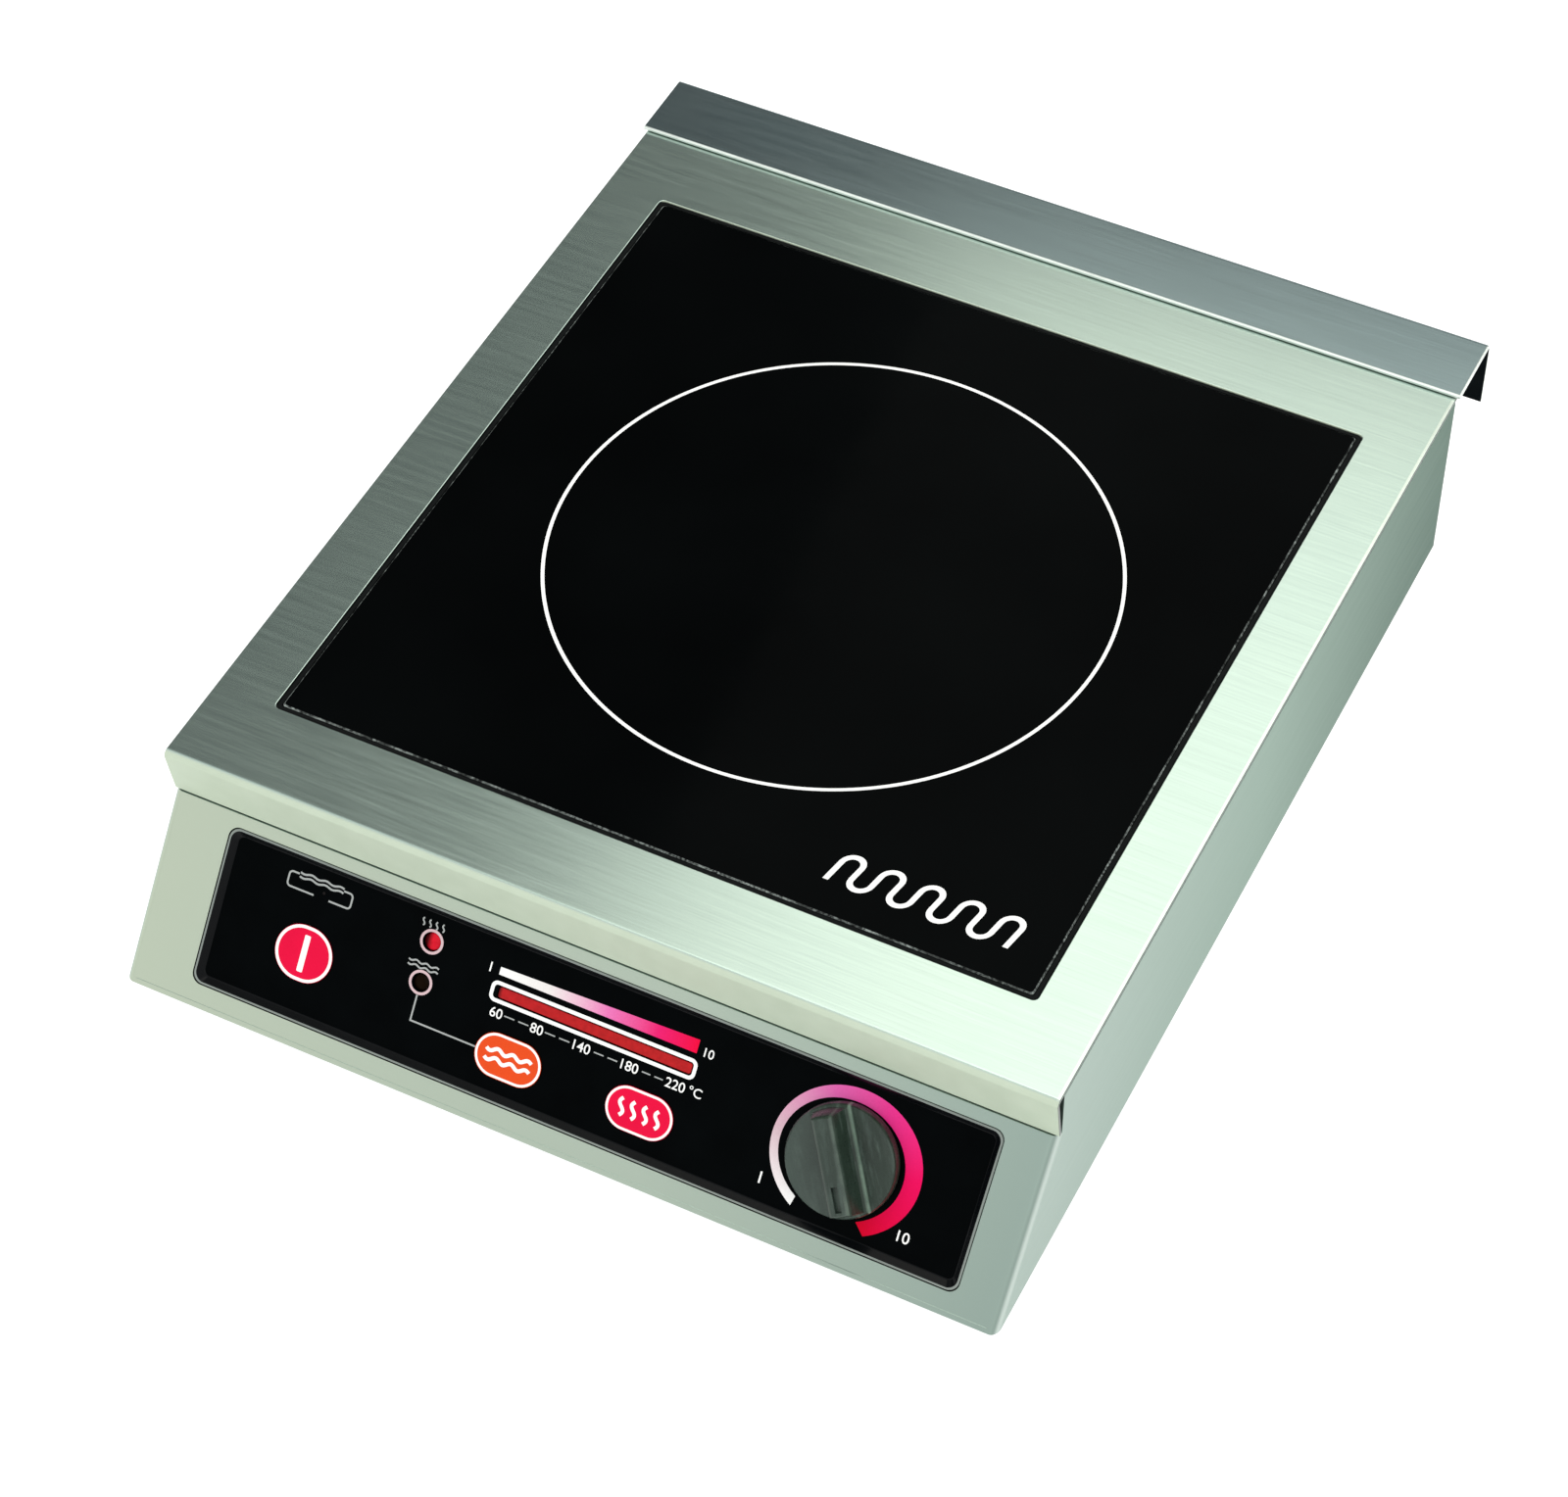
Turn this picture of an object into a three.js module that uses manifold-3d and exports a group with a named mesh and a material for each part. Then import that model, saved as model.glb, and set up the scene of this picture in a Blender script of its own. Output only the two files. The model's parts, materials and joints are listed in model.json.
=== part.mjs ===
// Countertop induction hob for a restaurant kitchen: a folded steel casing with a flush
// ceramic glass, a sloping control panel with a knob and three push buttons, and the coil,
// power electronics and cooling fan inside. Millimetres, +X right, +Y back, +Z up; the origin
// is on the counter, under the middle of the object's bounding box.
import * as THREE from "three";
import { mergeVertices } from "three/addons/utils/BufferGeometryUtils.js";
import Module from "manifold-3d";

// ---------------------------------------------------------------- driving dimensions
const GAP = 0.3; // clearance between pieces that touch
const SHEET = 1.5; // casing sheet steel
const WIDTH = 330; // casing, side to side
const TOP_DEPTH = 350; // front edge of the top plate to the rear wall
const TOE = 41; // how far the foot of the front panel stands ahead of the top plate
const FLANGE_DEPTH = 31; // rear flange, behind the rear wall
const FOOT_HEIGHT = 14;
const BODY_HEIGHT = 77; // casing, from its bottom edge to the top plate's face
const SKIRT_HEIGHT = 21.6; // folded front edge of the top plate
const SKIRT_LEAN = 3.2; // how far the skirt's lower edge is set back
const FOLD_RADIUS = 3; // outside radius of the folds between front and sides
const RETURN_FLANGE = 14; // inward flanges of the casing wrap

const FLANGE_SHEET = 1.2;
const FLANGE_OVERHANG = 1.5; // rear flange, past each side
const LIP_HEIGHT = 29; // downturned lip of the rear flange

const GLASS_SIDE = 280;
const GLASS_THICK = 4;
const GLASS_FRONT_MARGIN = 36;
const SEAL_WIDTH = 2; // joint between glass and top plate, all round

const BEZEL_WIDTH = 289;
const BEZEL_HEIGHT = 57;
const BEZEL_LEFT_MARGIN = 24;
const BEZEL_TOP_MARGIN = 5.3;
const BEZEL_DEPTH = 2.2; // floor of the dished bezel, below the front panel's face
const BEZEL_WALL = 2.2;
const BEZEL_FLOOR = 2; // thickness of the bezel's floor
const BUTTON_TRAVEL = 1;
const BUTTON_PROUD = 0.5; // button faces above the bezel's floor

const KNOB_RADIUS = 19.6;
const KNOB_HEIGHT = 14; // above the bezel's floor
const KNOB_REST = THREE.MathUtils.degToRad(28.5); // blade's turn from upright, at full power
const SHAFT_RADIUS = 3;
const SHAFT_CLEARANCE = 0.3;

const COIL_RADIUS = 90;
const COIL_BORE = 24;
const POST_COUNT = 3;
const FERRITE_COUNT = 6;
const FAN_SIDE = 92;
const FAN_THICK = 25;
const BLADE_COUNT = 7;

// ---------------------------------------------------------------- derived levels and places
const TOTAL_DEPTH = TOE + TOP_DEPTH + FLANGE_DEPTH;
const BASE_Z = FOOT_HEIGHT;
const TOP_Z = FOOT_HEIGHT + BODY_HEIGHT;
const TOE_Y = -TOTAL_DEPTH / 2;
const FRONT_Y = TOE_Y + TOE; // front edge of the top plate
const REAR_Y = FRONT_Y + TOP_DEPTH; // outer face of the rear wall
const BACK_Y = REAR_Y + FLANGE_DEPTH; // outer face of the flange's lip
const HALF = WIDTH / 2;
const INNER = HALF - SHEET;
const SLOPE_TOP_Y = FRONT_Y + SKIRT_LEAN;
const SLOPE_TOP_Z = TOP_Z - SKIRT_HEIGHT;
const SLOPE_RUN = SLOPE_TOP_Y - TOE_Y;
const SLOPE_DROP = SLOPE_TOP_Z - BASE_Z;
const SLOPE_LENGTH = Math.hypot(SLOPE_RUN, SLOPE_DROP);
const SLOPE_ANGLE = Math.atan2(SLOPE_DROP, SLOPE_RUN); // slope against the horizontal
const WALL_TOP_Z = TOP_Z - SHEET - 0.5; // top edge of the side walls
const SKIRT_SEAM = 0.6; // open seam between the skirt and the front panel, along the slope
const BEHIND_SKIRT_Y = SLOPE_TOP_Y + SHEET + GAP;
const FLOOR_Z = BASE_Z + SHEET + GAP; // underside of the base plate
const INSIDE_Z = FLOOR_Z + SHEET; // upper face of the base plate
const GLASS_Y = FRONT_Y + GLASS_FRONT_MARGIN + GLASS_SIDE / 2;
const GLASS_BOTTOM_Z = TOP_Z - GLASS_THICK;
const BEZEL_X = BEZEL_LEFT_MARGIN - HALF; // left edge of the bezel
const REAR_PANEL_Y = REAR_Y - SHEET - GAP; // outer face of the rear panel
const FAN_X = -88;
const FAN_Y = 112;
const GLAND_X = 122;
const GLAND_Z = 42;

// ---------------------------------------------------------------- solids
const wasm = await Module();
wasm.setup();

// A closed three.js geometry as a manifold-3d solid.
function solid(geometry) {
  const bare = geometry.clone();
  bare.deleteAttribute("normal");
  bare.deleteAttribute("uv");
  const merged = mergeVertices(bare, 1e-4);
  return new wasm.Manifold(
    new wasm.Mesh({
      numProp: 3,
      vertProperties: merged.attributes.position.array,
      triVerts: new Uint32Array(merged.index.array),
    }),
  );
}

function geometryOf(manifold) {
  const mesh = manifold.getMesh();
  const geometry = new THREE.BufferGeometry();
  geometry.setAttribute("position", new THREE.BufferAttribute(mesh.vertProperties, 3));
  geometry.setIndex(new THREE.BufferAttribute(mesh.triVerts, 1));
  geometry.computeVertexNormals();
  return geometry;
}

function join(first, ...others) {
  const sum = others.reduce((total, next) => total.add(solid(next)), solid(first));
  return geometryOf(sum);
}

function cut(first, ...tools) {
  const rest = tools.reduce((total, next) => total.subtract(solid(next)), solid(first));
  return geometryOf(rest);
}

// Box between two corners.
function box(low, high) {
  const size = high.map((value, axis) => value - low[axis]);
  const geometry = new THREE.BoxGeometry(...size);
  return geometry.translate(...high.map((value, axis) => (value + low[axis]) / 2));
}

// Cylinder along Z from one level to another.
function rod(x, y, radius, bottom, top, sides = 24, topRadius = radius) {
  const geometry = new THREE.CylinderGeometry(topRadius, radius, top - bottom, sides);
  return geometry.rotateX(Math.PI / 2).translate(x, y, (bottom + top) / 2);
}

// Body of revolution about Z; the profile's points are (radius, height) and run upwards outside.
function turned(profile, sides = 32) {
  const points = profile.map(([radius, height]) => new THREE.Vector2(radius, height));
  return new THREE.LatheGeometry(points, sides).rotateX(Math.PI / 2);
}

// Ring of rectangular section about Z.
function ring(inner, outer, bottom, top, sides = 40) {
  const profile = [[inner, bottom], [outer, bottom], [outer, top], [inner, top], [inner, bottom]];
  return turned(profile, sides);
}

function roundedRectangle(width, height, radius) {
  const shape = new THREE.Shape();
  const x = width / 2;
  const y = height / 2;
  shape.absarc(x - radius, y - radius, radius, 0, Math.PI / 2);
  shape.absarc(radius - x, y - radius, radius, Math.PI / 2, Math.PI);
  shape.absarc(radius - x, radius - y, radius, Math.PI, 1.5 * Math.PI);
  shape.absarc(x - radius, radius - y, radius, 1.5 * Math.PI, 2 * Math.PI);
  return shape;
}

// Rounded rectangular slab about (x, y), between two levels.
function slab(x, y, width, height, radius, bottom, top, curveSegments = 4) {
  const shape = roundedRectangle(width, height, radius);
  const options = { depth: top - bottom, bevelEnabled: false, curveSegments };
  return new THREE.ExtrudeGeometry(shape, options).translate(x, y, bottom);
}

// Outline in the YZ plane, extruded along X from one side to the other.
function sideways(outline, left, right) {
  const shape = Array.isArray(outline)
    ? new THREE.Shape(outline.map(([y, z]) => new THREE.Vector2(y, z)))
    : outline;
  const options = { depth: right - left, bevelEnabled: false, curveSegments: 4 };
  const turn = new THREE.Matrix4().makeBasis(
    new THREE.Vector3(0, 1, 0),
    new THREE.Vector3(0, 0, 1),
    new THREE.Vector3(1, 0, 0),
  );
  return new THREE.ExtrudeGeometry(shape, options).applyMatrix4(turn).translate(left, 0, 0);
}

// Tube of a few sides along a smooth curve through the given points.
function tube(points, radius, steps, sides = 8) {
  const path = new THREE.CatmullRomCurve3(points.map((point) => new THREE.Vector3(...point)));
  const corners = Array.from({ length: sides }, (_, index) => {
    const angle = (2 * Math.PI * index) / sides;
    return new THREE.Vector2(radius * Math.cos(angle), radius * Math.sin(angle));
  });
  const options = { steps, bevelEnabled: false, extrudePath: path };
  return new THREE.ExtrudeGeometry(new THREE.Shape(corners), options);
}

// Repeats a geometry round the Z axis.
function aroundZ(count, make) {
  return Array.from({ length: count }, (_, index) => {
    return make(index).rotateZ((2 * Math.PI * index) / count);
  });
}

// ---------------------------------------------------------------- materials
const MATERIALS = {
  steel: [0xa9b3a8, 0.35, 1],
  darkSteel: [0x6f7c7a, 0.4, 1],
  zinc: [0xb7bbb6, 0.45, 1],
  aluminium: [0xc6c9c9, 0.4, 1],
  brass: [0xb89a55, 0.35, 1],
  copper: [0xb06a3a, 0.4, 1],
  glass: [0x050606, 0.06, 0],
  sealant: [0x5a605e, 0.7, 0],
  glossBlack: [0x060707, 0.12, 0],
  knobGrey: [0x2c3a33, 0.5, 0],
  blackPlastic: [0x151716, 0.55, 0],
  rubber: [0x1b1b1b, 0.85, 0],
  crimson: [0xe0133f, 0.35, 0],
  orange: [0xf24a20, 0.35, 0],
  redLens: [0xc4101c, 0.2, 0],
  darkLens: [0x2a0508, 0.2, 0],
  boardGreen: [0x1d5a38, 0.6, 0],
  ferrite: [0x3a3b3c, 0.6, 0],
  mica: [0xcfc9b4, 0.6, 0],
  resin: [0x2b3f63, 0.5, 0],
};

function piece(name, geometry, finish) {
  const [color, roughness, metalness] = MATERIALS[finish];
  const material = new THREE.MeshStandardMaterial({ color, roughness, metalness });
  const mesh = new THREE.Mesh(geometry, material);
  mesh.name = name;
  return mesh;
}

// ---------------------------------------------------------------- casing
// Sheet folded down at its front edge into a skirt, with the opening for the glass.
function topPlate() {
  const bend = 2.5;
  const tailY = REAR_Y + 8;
  const outline = new THREE.Shape();
  outline.moveTo(tailY, TOP_Z);
  outline.lineTo(FRONT_Y + bend, TOP_Z);
  outline.absarc(FRONT_Y + bend, TOP_Z - bend, bend, Math.PI / 2, Math.PI);
  outline.lineTo(SLOPE_TOP_Y, SLOPE_TOP_Z);
  outline.lineTo(SLOPE_TOP_Y + SHEET, SLOPE_TOP_Z);
  outline.lineTo(FRONT_Y + SHEET, TOP_Z - bend);
  outline.absarc(FRONT_Y + bend, TOP_Z - bend, bend - SHEET, Math.PI, Math.PI / 2, true);
  outline.lineTo(tailY, TOP_Z - SHEET);
  const opening = GLASS_SIDE + 2 * SEAL_WIDTH;
  const hole = slab(0, GLASS_Y, opening, opening, 2, TOP_Z - 5, TOP_Z + 5);
  return cut(sideways(outline, -HALF, HALF), hole);
}

// Hood over the air outlet: a flat sheet behind the top plate with a downturned lip.
function rearFlange() {
  const bend = 2;
  const topZ = TOP_Z + GAP + FLANGE_SHEET;
  const inner = bend - FLANGE_SHEET;
  const outline = new THREE.Shape();
  outline.moveTo(REAR_Y, topZ - FLANGE_SHEET);
  outline.lineTo(BACK_Y - bend, topZ - FLANGE_SHEET);
  outline.absarc(BACK_Y - bend, topZ - bend, inner, Math.PI / 2, 0, true);
  outline.lineTo(BACK_Y - FLANGE_SHEET, topZ - LIP_HEIGHT);
  outline.lineTo(BACK_Y, topZ - LIP_HEIGHT);
  outline.absarc(BACK_Y - bend, topZ - bend, bend, 0, Math.PI / 2);
  outline.lineTo(REAR_Y, topZ);
  const reach = HALF + FLANGE_OVERHANG;
  return sideways(outline, -reach, reach);
}

// A point of the front slope: distance down it, and height above its face.
function onSlope(down, above) {
  const y = SLOPE_TOP_Y - down * Math.cos(SLOPE_ANGLE) - above * Math.sin(SLOPE_ANGLE);
  const z = SLOPE_TOP_Z - down * Math.sin(SLOPE_ANGLE) + above * Math.cos(SLOPE_ANGLE);
  return [y, z];
}

// Side wall: upright behind the skirt, then following the front slope down to the bottom edge.
function sideWall(left, right) {
  const shoulder = onSlope(SKIRT_SEAM, 0);
  const outline = [
    [TOE_Y, BASE_Z],
    [REAR_Y, BASE_Z],
    [REAR_Y, WALL_TOP_Z],
    [BEHIND_SKIRT_Y, WALL_TOP_Z],
    [BEHIND_SKIRT_Y, shoulder[1]],
    shoulder,
  ];
  return sideways(outline, left, right);
}

// What is cut away to round one fold between the front panel and a side wall.
function foldCorner(side) {
  const reach = FOLD_RADIUS + 1;
  const shape = new THREE.Shape();
  shape.moveTo(0, reach);
  shape.lineTo(0, FOLD_RADIUS);
  shape.absarc(FOLD_RADIUS, FOLD_RADIUS, FOLD_RADIUS, Math.PI, 1.5 * Math.PI);
  shape.lineTo(reach, 0);
  shape.lineTo(reach, -1);
  shape.lineTo(-1, -1);
  shape.lineTo(-1, reach);
  const options = { depth: SLOPE_LENGTH + 4, bevelEnabled: false, curveSegments: 5 };
  const tool = new THREE.ExtrudeGeometry(shape, options);
  const down = new THREE.Vector3(0, -Math.cos(SLOPE_ANGLE), -Math.sin(SLOPE_ANGLE));
  const inward = new THREE.Vector3(0, Math.sin(SLOPE_ANGLE), -Math.cos(SLOPE_ANGLE));
  const across = new THREE.Vector3(-side, 0, 0);
  const axes = side < 0 ? [inward, across, down] : [across, inward, down];
  const [y, z] = onSlope(-1, 0);
  return tool.applyMatrix4(new THREE.Matrix4().makeBasis(...axes)).translate(side * HALF, y, z);
}

// Front panel and both sides folded from one sheet, with inward flanges at bottom and rear and
// a stiffening lip that stands behind the skirt.
function bodyWrap() {
  const lipTopZ = SLOPE_TOP_Z + 8;
  const shoulder = onSlope(SKIRT_SEAM, 0);
  const innerToeY = TOE_Y + SHEET / Math.sin(SLOPE_ANGLE);
  const shelfZ = shoulder[1] - SHEET;
  const front = [
    [TOE_Y, BASE_Z],
    [innerToeY, BASE_Z],
    [innerToeY + (shelfZ - BASE_Z) / Math.tan(SLOPE_ANGLE), shelfZ],
    [BEHIND_SKIRT_Y + SHEET, shelfZ],
    [BEHIND_SKIRT_Y + SHEET, lipTopZ],
    [BEHIND_SKIRT_Y, lipTopZ],
    [BEHIND_SKIRT_Y, shoulder[1]],
    shoulder,
  ];
  const bottomZ = BASE_Z + SHEET;
  const sides = [-1, 1].flatMap((side) => {
    const outer = side * HALF;
    const wall = side * INNER;
    const edge = side * (HALF - RETURN_FLANGE);
    const span = (a, b) => [Math.min(a, b), Math.max(a, b)];
    const [wallLow, wallHigh] = span(outer, wall);
    const [low, high] = span(outer, edge);
    return [
      sideWall(wallLow, wallHigh),
      box([low, TOE_Y + 8, BASE_Z], [high, REAR_Y, bottomZ]),
      box([low, REAR_Y - SHEET, BASE_Z], [high, REAR_Y, WALL_TOP_Z]),
    ];
  });
  const reach = HALF - SHEET / 2;
  const sill = box([-reach, TOE_Y + 1, BASE_Z], [reach, TOE_Y + RETURN_FLANGE, bottomZ]);
  const folded = join(sideways(front, -reach, reach), sill, ...sides);
  const centreX = BEZEL_X + BEZEL_WIDTH / 2;
  const centreY = -BEZEL_TOP_MARGIN - BEZEL_HEIGHT / 2;
  const window = slab(
    centreX, centreY, BEZEL_WIDTH + 2 * GAP, BEZEL_HEIGHT + 2 * GAP, 4, -8, 8,
  );
  window.rotateX(SLOPE_ANGLE).translate(0, SLOPE_TOP_Y, SLOPE_TOP_Z);
  return cut(folded, foldCorner(-1), foldCorner(1), window);
}

// Rear wall with two rows of air outlet slots and the hole for the cord gland.
function rearPanel() {
  const reach = INNER - GAP;
  const topZ = TOP_Z - SHEET - GAP;
  const plate = box([-reach, REAR_PANEL_Y - SHEET, INSIDE_Z + GAP], [reach, REAR_PANEL_Y, topZ]);
  const slots = [];
  const slotPitch = 14;
  for (let index = 0; index < 16; index += 1) {
    const x = -136 + slotPitch * index;
    const slot = box([x, REAR_PANEL_Y - 5, 54], [x + 5, REAR_PANEL_Y + 5, 80]);
    slots.push(slot);
  }
  const glandHole = rod(GLAND_X, 0, 8.3, -5, 5, 24).rotateX(Math.PI / 2);
  glandHole.translate(0, REAR_PANEL_Y, GLAND_Z);
  return cut(plate, glandHole, ...slots);
}

// Base plate: the fan's intake slots, the feet's holes and an upright stiffener along each side.
function basePlate() {
  const reach = INNER - GAP;
  const frontY = TOE_Y + (INSIDE_Z - BASE_Z + 3) / Math.tan(SLOPE_ANGLE) + 3;
  const rearY = REAR_PANEL_Y - SHEET - GAP;
  const plate = box([-reach, frontY, FLOOR_Z], [reach, rearY, INSIDE_Z]);
  const stiffeners = [-1, 1].map((side) => {
    const x = side * (reach - SHEET);
    return box([x - SHEET / 2, -120, FLOOR_Z + SHEET / 2], [x + SHEET / 2, rearY - 1, FLOOR_Z + 14]);
  });
  const tools = [];
  for (let index = 0; index < 9; index += 1) {
    const x = FAN_X - 36 + 9 * index;
    const halfLength = Math.sqrt(42 ** 2 - (x - FAN_X) ** 2);
    tools.push(box([x - 2.2, FAN_Y - halfLength, 0], [x + 2.2, FAN_Y + halfLength, 40]));
  }
  FOOT_PLACES.forEach(([, x, y]) => tools.push(rod(x, y, 4.3, 0, 40, 16)));
  return cut(join(plate, ...stiffeners), ...tools);
}

const FOOT_PLACES = [
  ["front_left", -140, -150],
  ["front_right", 140, -150],
  ["rear_left", -140, 146],
  ["rear_right", 140, 146],
];

// Rubber foot: a tapered pad with a barbed neck pushed up through the base plate.
function foot() {
  const padTop = BASE_Z - GAP;
  const profile = [
    [0, 0],
    [13, 0],
    [14, 1],
    [16, padTop - 3],
    [16, padTop],
    [4, padTop],
    [4, INSIDE_Z + GAP],
    [5.2, INSIDE_Z + GAP],
    [3, INSIDE_Z + 5],
    [0, INSIDE_Z + 5],
  ];
  return turned(profile, 16);
}

// ---------------------------------------------------------------- cooking surface
function glassSeal() {
  const outer = GLASS_SIDE + 2 * SEAL_WIDTH - 2 * GAP;
  const inner = GLASS_SIDE + 2 * GAP;
  const bottom = TOP_Z - GLASS_THICK + GAP;
  const bead = slab(0, GLASS_Y, outer, outer, 2, bottom, TOP_Z - 0.4);
  return cut(bead, slab(0, GLASS_Y, inner, inner, 1, bottom - 1, TOP_Z + 1));
}

// Angle frame welded under the top plate; the glass is bedded on its inner ledge.
function supportFrame() {
  const outer = GLASS_SIDE + 16;
  const ledge = GLASS_SIDE - 16;
  const bottom = GLASS_BOTTOM_Z - GAP - SHEET;
  const top = TOP_Z - SHEET - GAP;
  const block = slab(0, GLASS_Y, outer, outer, 2, bottom, top);
  const trough = slab(0, GLASS_Y, outer - 6, outer - 6, 2, bottom + SHEET, top + 1);
  return cut(block, trough, slab(0, GLASS_Y, ledge, ledge, 2, bottom - 1, top));
}

const MICA_TOP_Z = GLASS_BOTTOM_Z - GAP;
const MICA_BOTTOM_Z = MICA_TOP_Z - 1;
const COIL_TOP_Z = MICA_BOTTOM_Z - GAP;
const COIL_BOTTOM_Z = COIL_TOP_Z - 5.5;
const CARRIER_TOP_Z = COIL_BOTTOM_Z - GAP;
const CARRIER_BOTTOM_Z = CARRIER_TOP_Z - 3;
const SENSOR_RADIUS = 8;

// Spoked disc that carries the winding; its pieces are placed about the centre of the glass.
function coilCarrier() {
  const disc = rod(0, 0, COIL_RADIUS + 6, CARRIER_BOTTOM_Z, CARRIER_TOP_Z, 48);
  const windows = aroundZ(FERRITE_COUNT, () => {
    return box([36, -9, 0], [78, 9, TOP_Z]).rotateZ(Math.PI / FERRITE_COUNT);
  });
  return cut(disc, rod(0, 0, SENSOR_RADIUS + 1, 0, TOP_Z, 24), ...windows);
}

function cookingGroup() {
  const group = new THREE.Group();
  group.position.set(0, GLASS_Y, 0);
  const mica = ring(SENSOR_RADIUS + 1, COIL_RADIUS + 6, MICA_BOTTOM_Z, MICA_TOP_Z);
  const coil = ring(COIL_BORE, COIL_RADIUS, COIL_BOTTOM_Z, COIL_TOP_Z);
  const half = GLASS_SIDE / 2;
  const pane = box([-half, -half, GLASS_BOTTOM_Z], [half, half, TOP_Z]);
  const sensor = rod(0, 0, SENSOR_RADIUS, CARRIER_BOTTOM_Z - 4, MICA_TOP_Z, 20);
  group.add(piece("glass_panel", pane, "glass"));
  group.add(piece("mica_sheet", mica, "mica"));
  group.add(piece("induction_coil", coil, "copper"));
  group.add(piece("coil_carrier", coilCarrier(), "blackPlastic"));
  group.add(piece("glass_temperature_sensor", sensor, "aluminium"));
  const ferriteTop = CARRIER_BOTTOM_Z - GAP;
  aroundZ(FERRITE_COUNT, () => box([27, -7, ferriteTop - 4], [86, 7, ferriteTop]))
    .forEach((bar, index) => group.add(piece(`ferrite_bar_${index + 1}`, bar, "ferrite")));
  aroundZ(POST_COUNT, () => {
    const post = rod(COIL_RADIUS - 1, 0, 4, INSIDE_Z + GAP, ferriteTop, 14);
    return post.rotateZ(Math.PI / FERRITE_COUNT);
  }).forEach((post, index) => group.add(piece(`coil_post_${index + 1}`, post, "aluminium")));
  return group;
}

// ---------------------------------------------------------------- controls
// All of these are modelled on the front panel's face: +X right, +Y up the slope, +Z outwards.
const FACE = -BEZEL_DEPTH; // front face of the bezel's floor
const FLOOR_BACK = FACE - BEZEL_FLOOR;
const BOARD_FRONT = -13;
const SWITCH_TOP = -7.3;
const LENS_DEPTH = -12;
const KNOB_PLACE = bezelPoint(239.6, 29.2);
const BAR_PLACE = bezelPoint(144.6, 20.4);
const BAR_SIZE = [72.4, 3.7];
const BUTTONS = [
  { name: "power", place: bezelPoint(37, 33.5), width: 21.8, height: 19.8, finish: "crimson" },
  { name: "warm", place: bezelPoint(118.3, 41.3), width: 24.8, height: 15.6, finish: "orange" },
  { name: "heat", place: bezelPoint(167.8, 41.2), width: 24.8, height: 15.6, finish: "crimson" },
];
const LAMPS = [
  { name: "heat_lamp", place: bezelPoint(80.6, 12.8), finish: "redLens" },
  { name: "warm_lamp", place: bezelPoint(80.6, 27.6), finish: "darkLens" },
];
const LAMP_RADIUS = 3;

// Place on the panel, from the bezel's upper left corner: right, then down.
function bezelPoint(right, down) {
  return [BEZEL_X + right, -BEZEL_TOP_MARGIN - down];
}

function buttonRadius(button) {
  return Math.min(button.width, button.height) / 2;
}

function buttonSlab(button, grow, bottom, top) {
  const [x, y] = button.place;
  const radius = buttonRadius(button) + grow;
  return slab(
    x, y, button.width + 2 * grow + 0.01, button.height + 2 * grow + 0.01, radius, bottom, top, 6,
  );
}

// Dished tray behind the window of the front panel, with a hole for every control.
function controlBezel() {
  const [x, y] = bezelPoint(BEZEL_WIDTH / 2, BEZEL_HEIGHT / 2);
  const inner = [BEZEL_WIDTH - 2 * BEZEL_WALL, BEZEL_HEIGHT - 2 * BEZEL_WALL];
  const tray = slab(x, y, BEZEL_WIDTH, BEZEL_HEIGHT, 4, FLOOR_BACK, 0);
  const lugs = slab(x, y + 1, BEZEL_WIDTH + 12, BEZEL_HEIGHT - 4, 2, FLOOR_BACK, -SHEET - GAP);
  const tools = [slab(x, y, ...inner, 2.5, FACE, 5)];
  BUTTONS.forEach((button) => tools.push(buttonSlab(button, GAP, -10, 5)));
  LAMPS.forEach(({ place }) => tools.push(rod(...place, LAMP_RADIUS + GAP, -10, 5, 20)));
  tools.push(rod(...KNOB_PLACE, 4.9, -10, 5, 20));
  tools.push(slab(...BAR_PLACE, BAR_SIZE[0] + 2 * GAP, BAR_SIZE[1] + 2 * GAP, 1, -10, 5, 2));
  return cut(join(tray, lugs), ...tools);
}

// Push button: its cap, a retaining rim behind the bezel's floor and the plunger of its switch.
function pushButton(button) {
  const rimBottom = SWITCH_TOP + BUTTON_TRAVEL + 0.4;
  const cap = buttonSlab(button, 0, rimBottom, FACE + BUTTON_PROUD);
  const rim = buttonSlab(button, 1.2, rimBottom, FLOOR_BACK - 0.4);
  const plunger = rod(...button.place, 1.8, SWITCH_TOP - 3.3, rimBottom + 0.5, 12);
  return join(cap, rim, plunger);
}

function tactSwitch(button) {
  const [x, y] = button.place;
  const housing = box([x - 6, y - 6, BOARD_FRONT + GAP], [x + 6, y + 6, SWITCH_TOP]);
  return cut(housing, rod(x, y, 2.1, SWITCH_TOP - 4.6, 0, 12));
}

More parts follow.
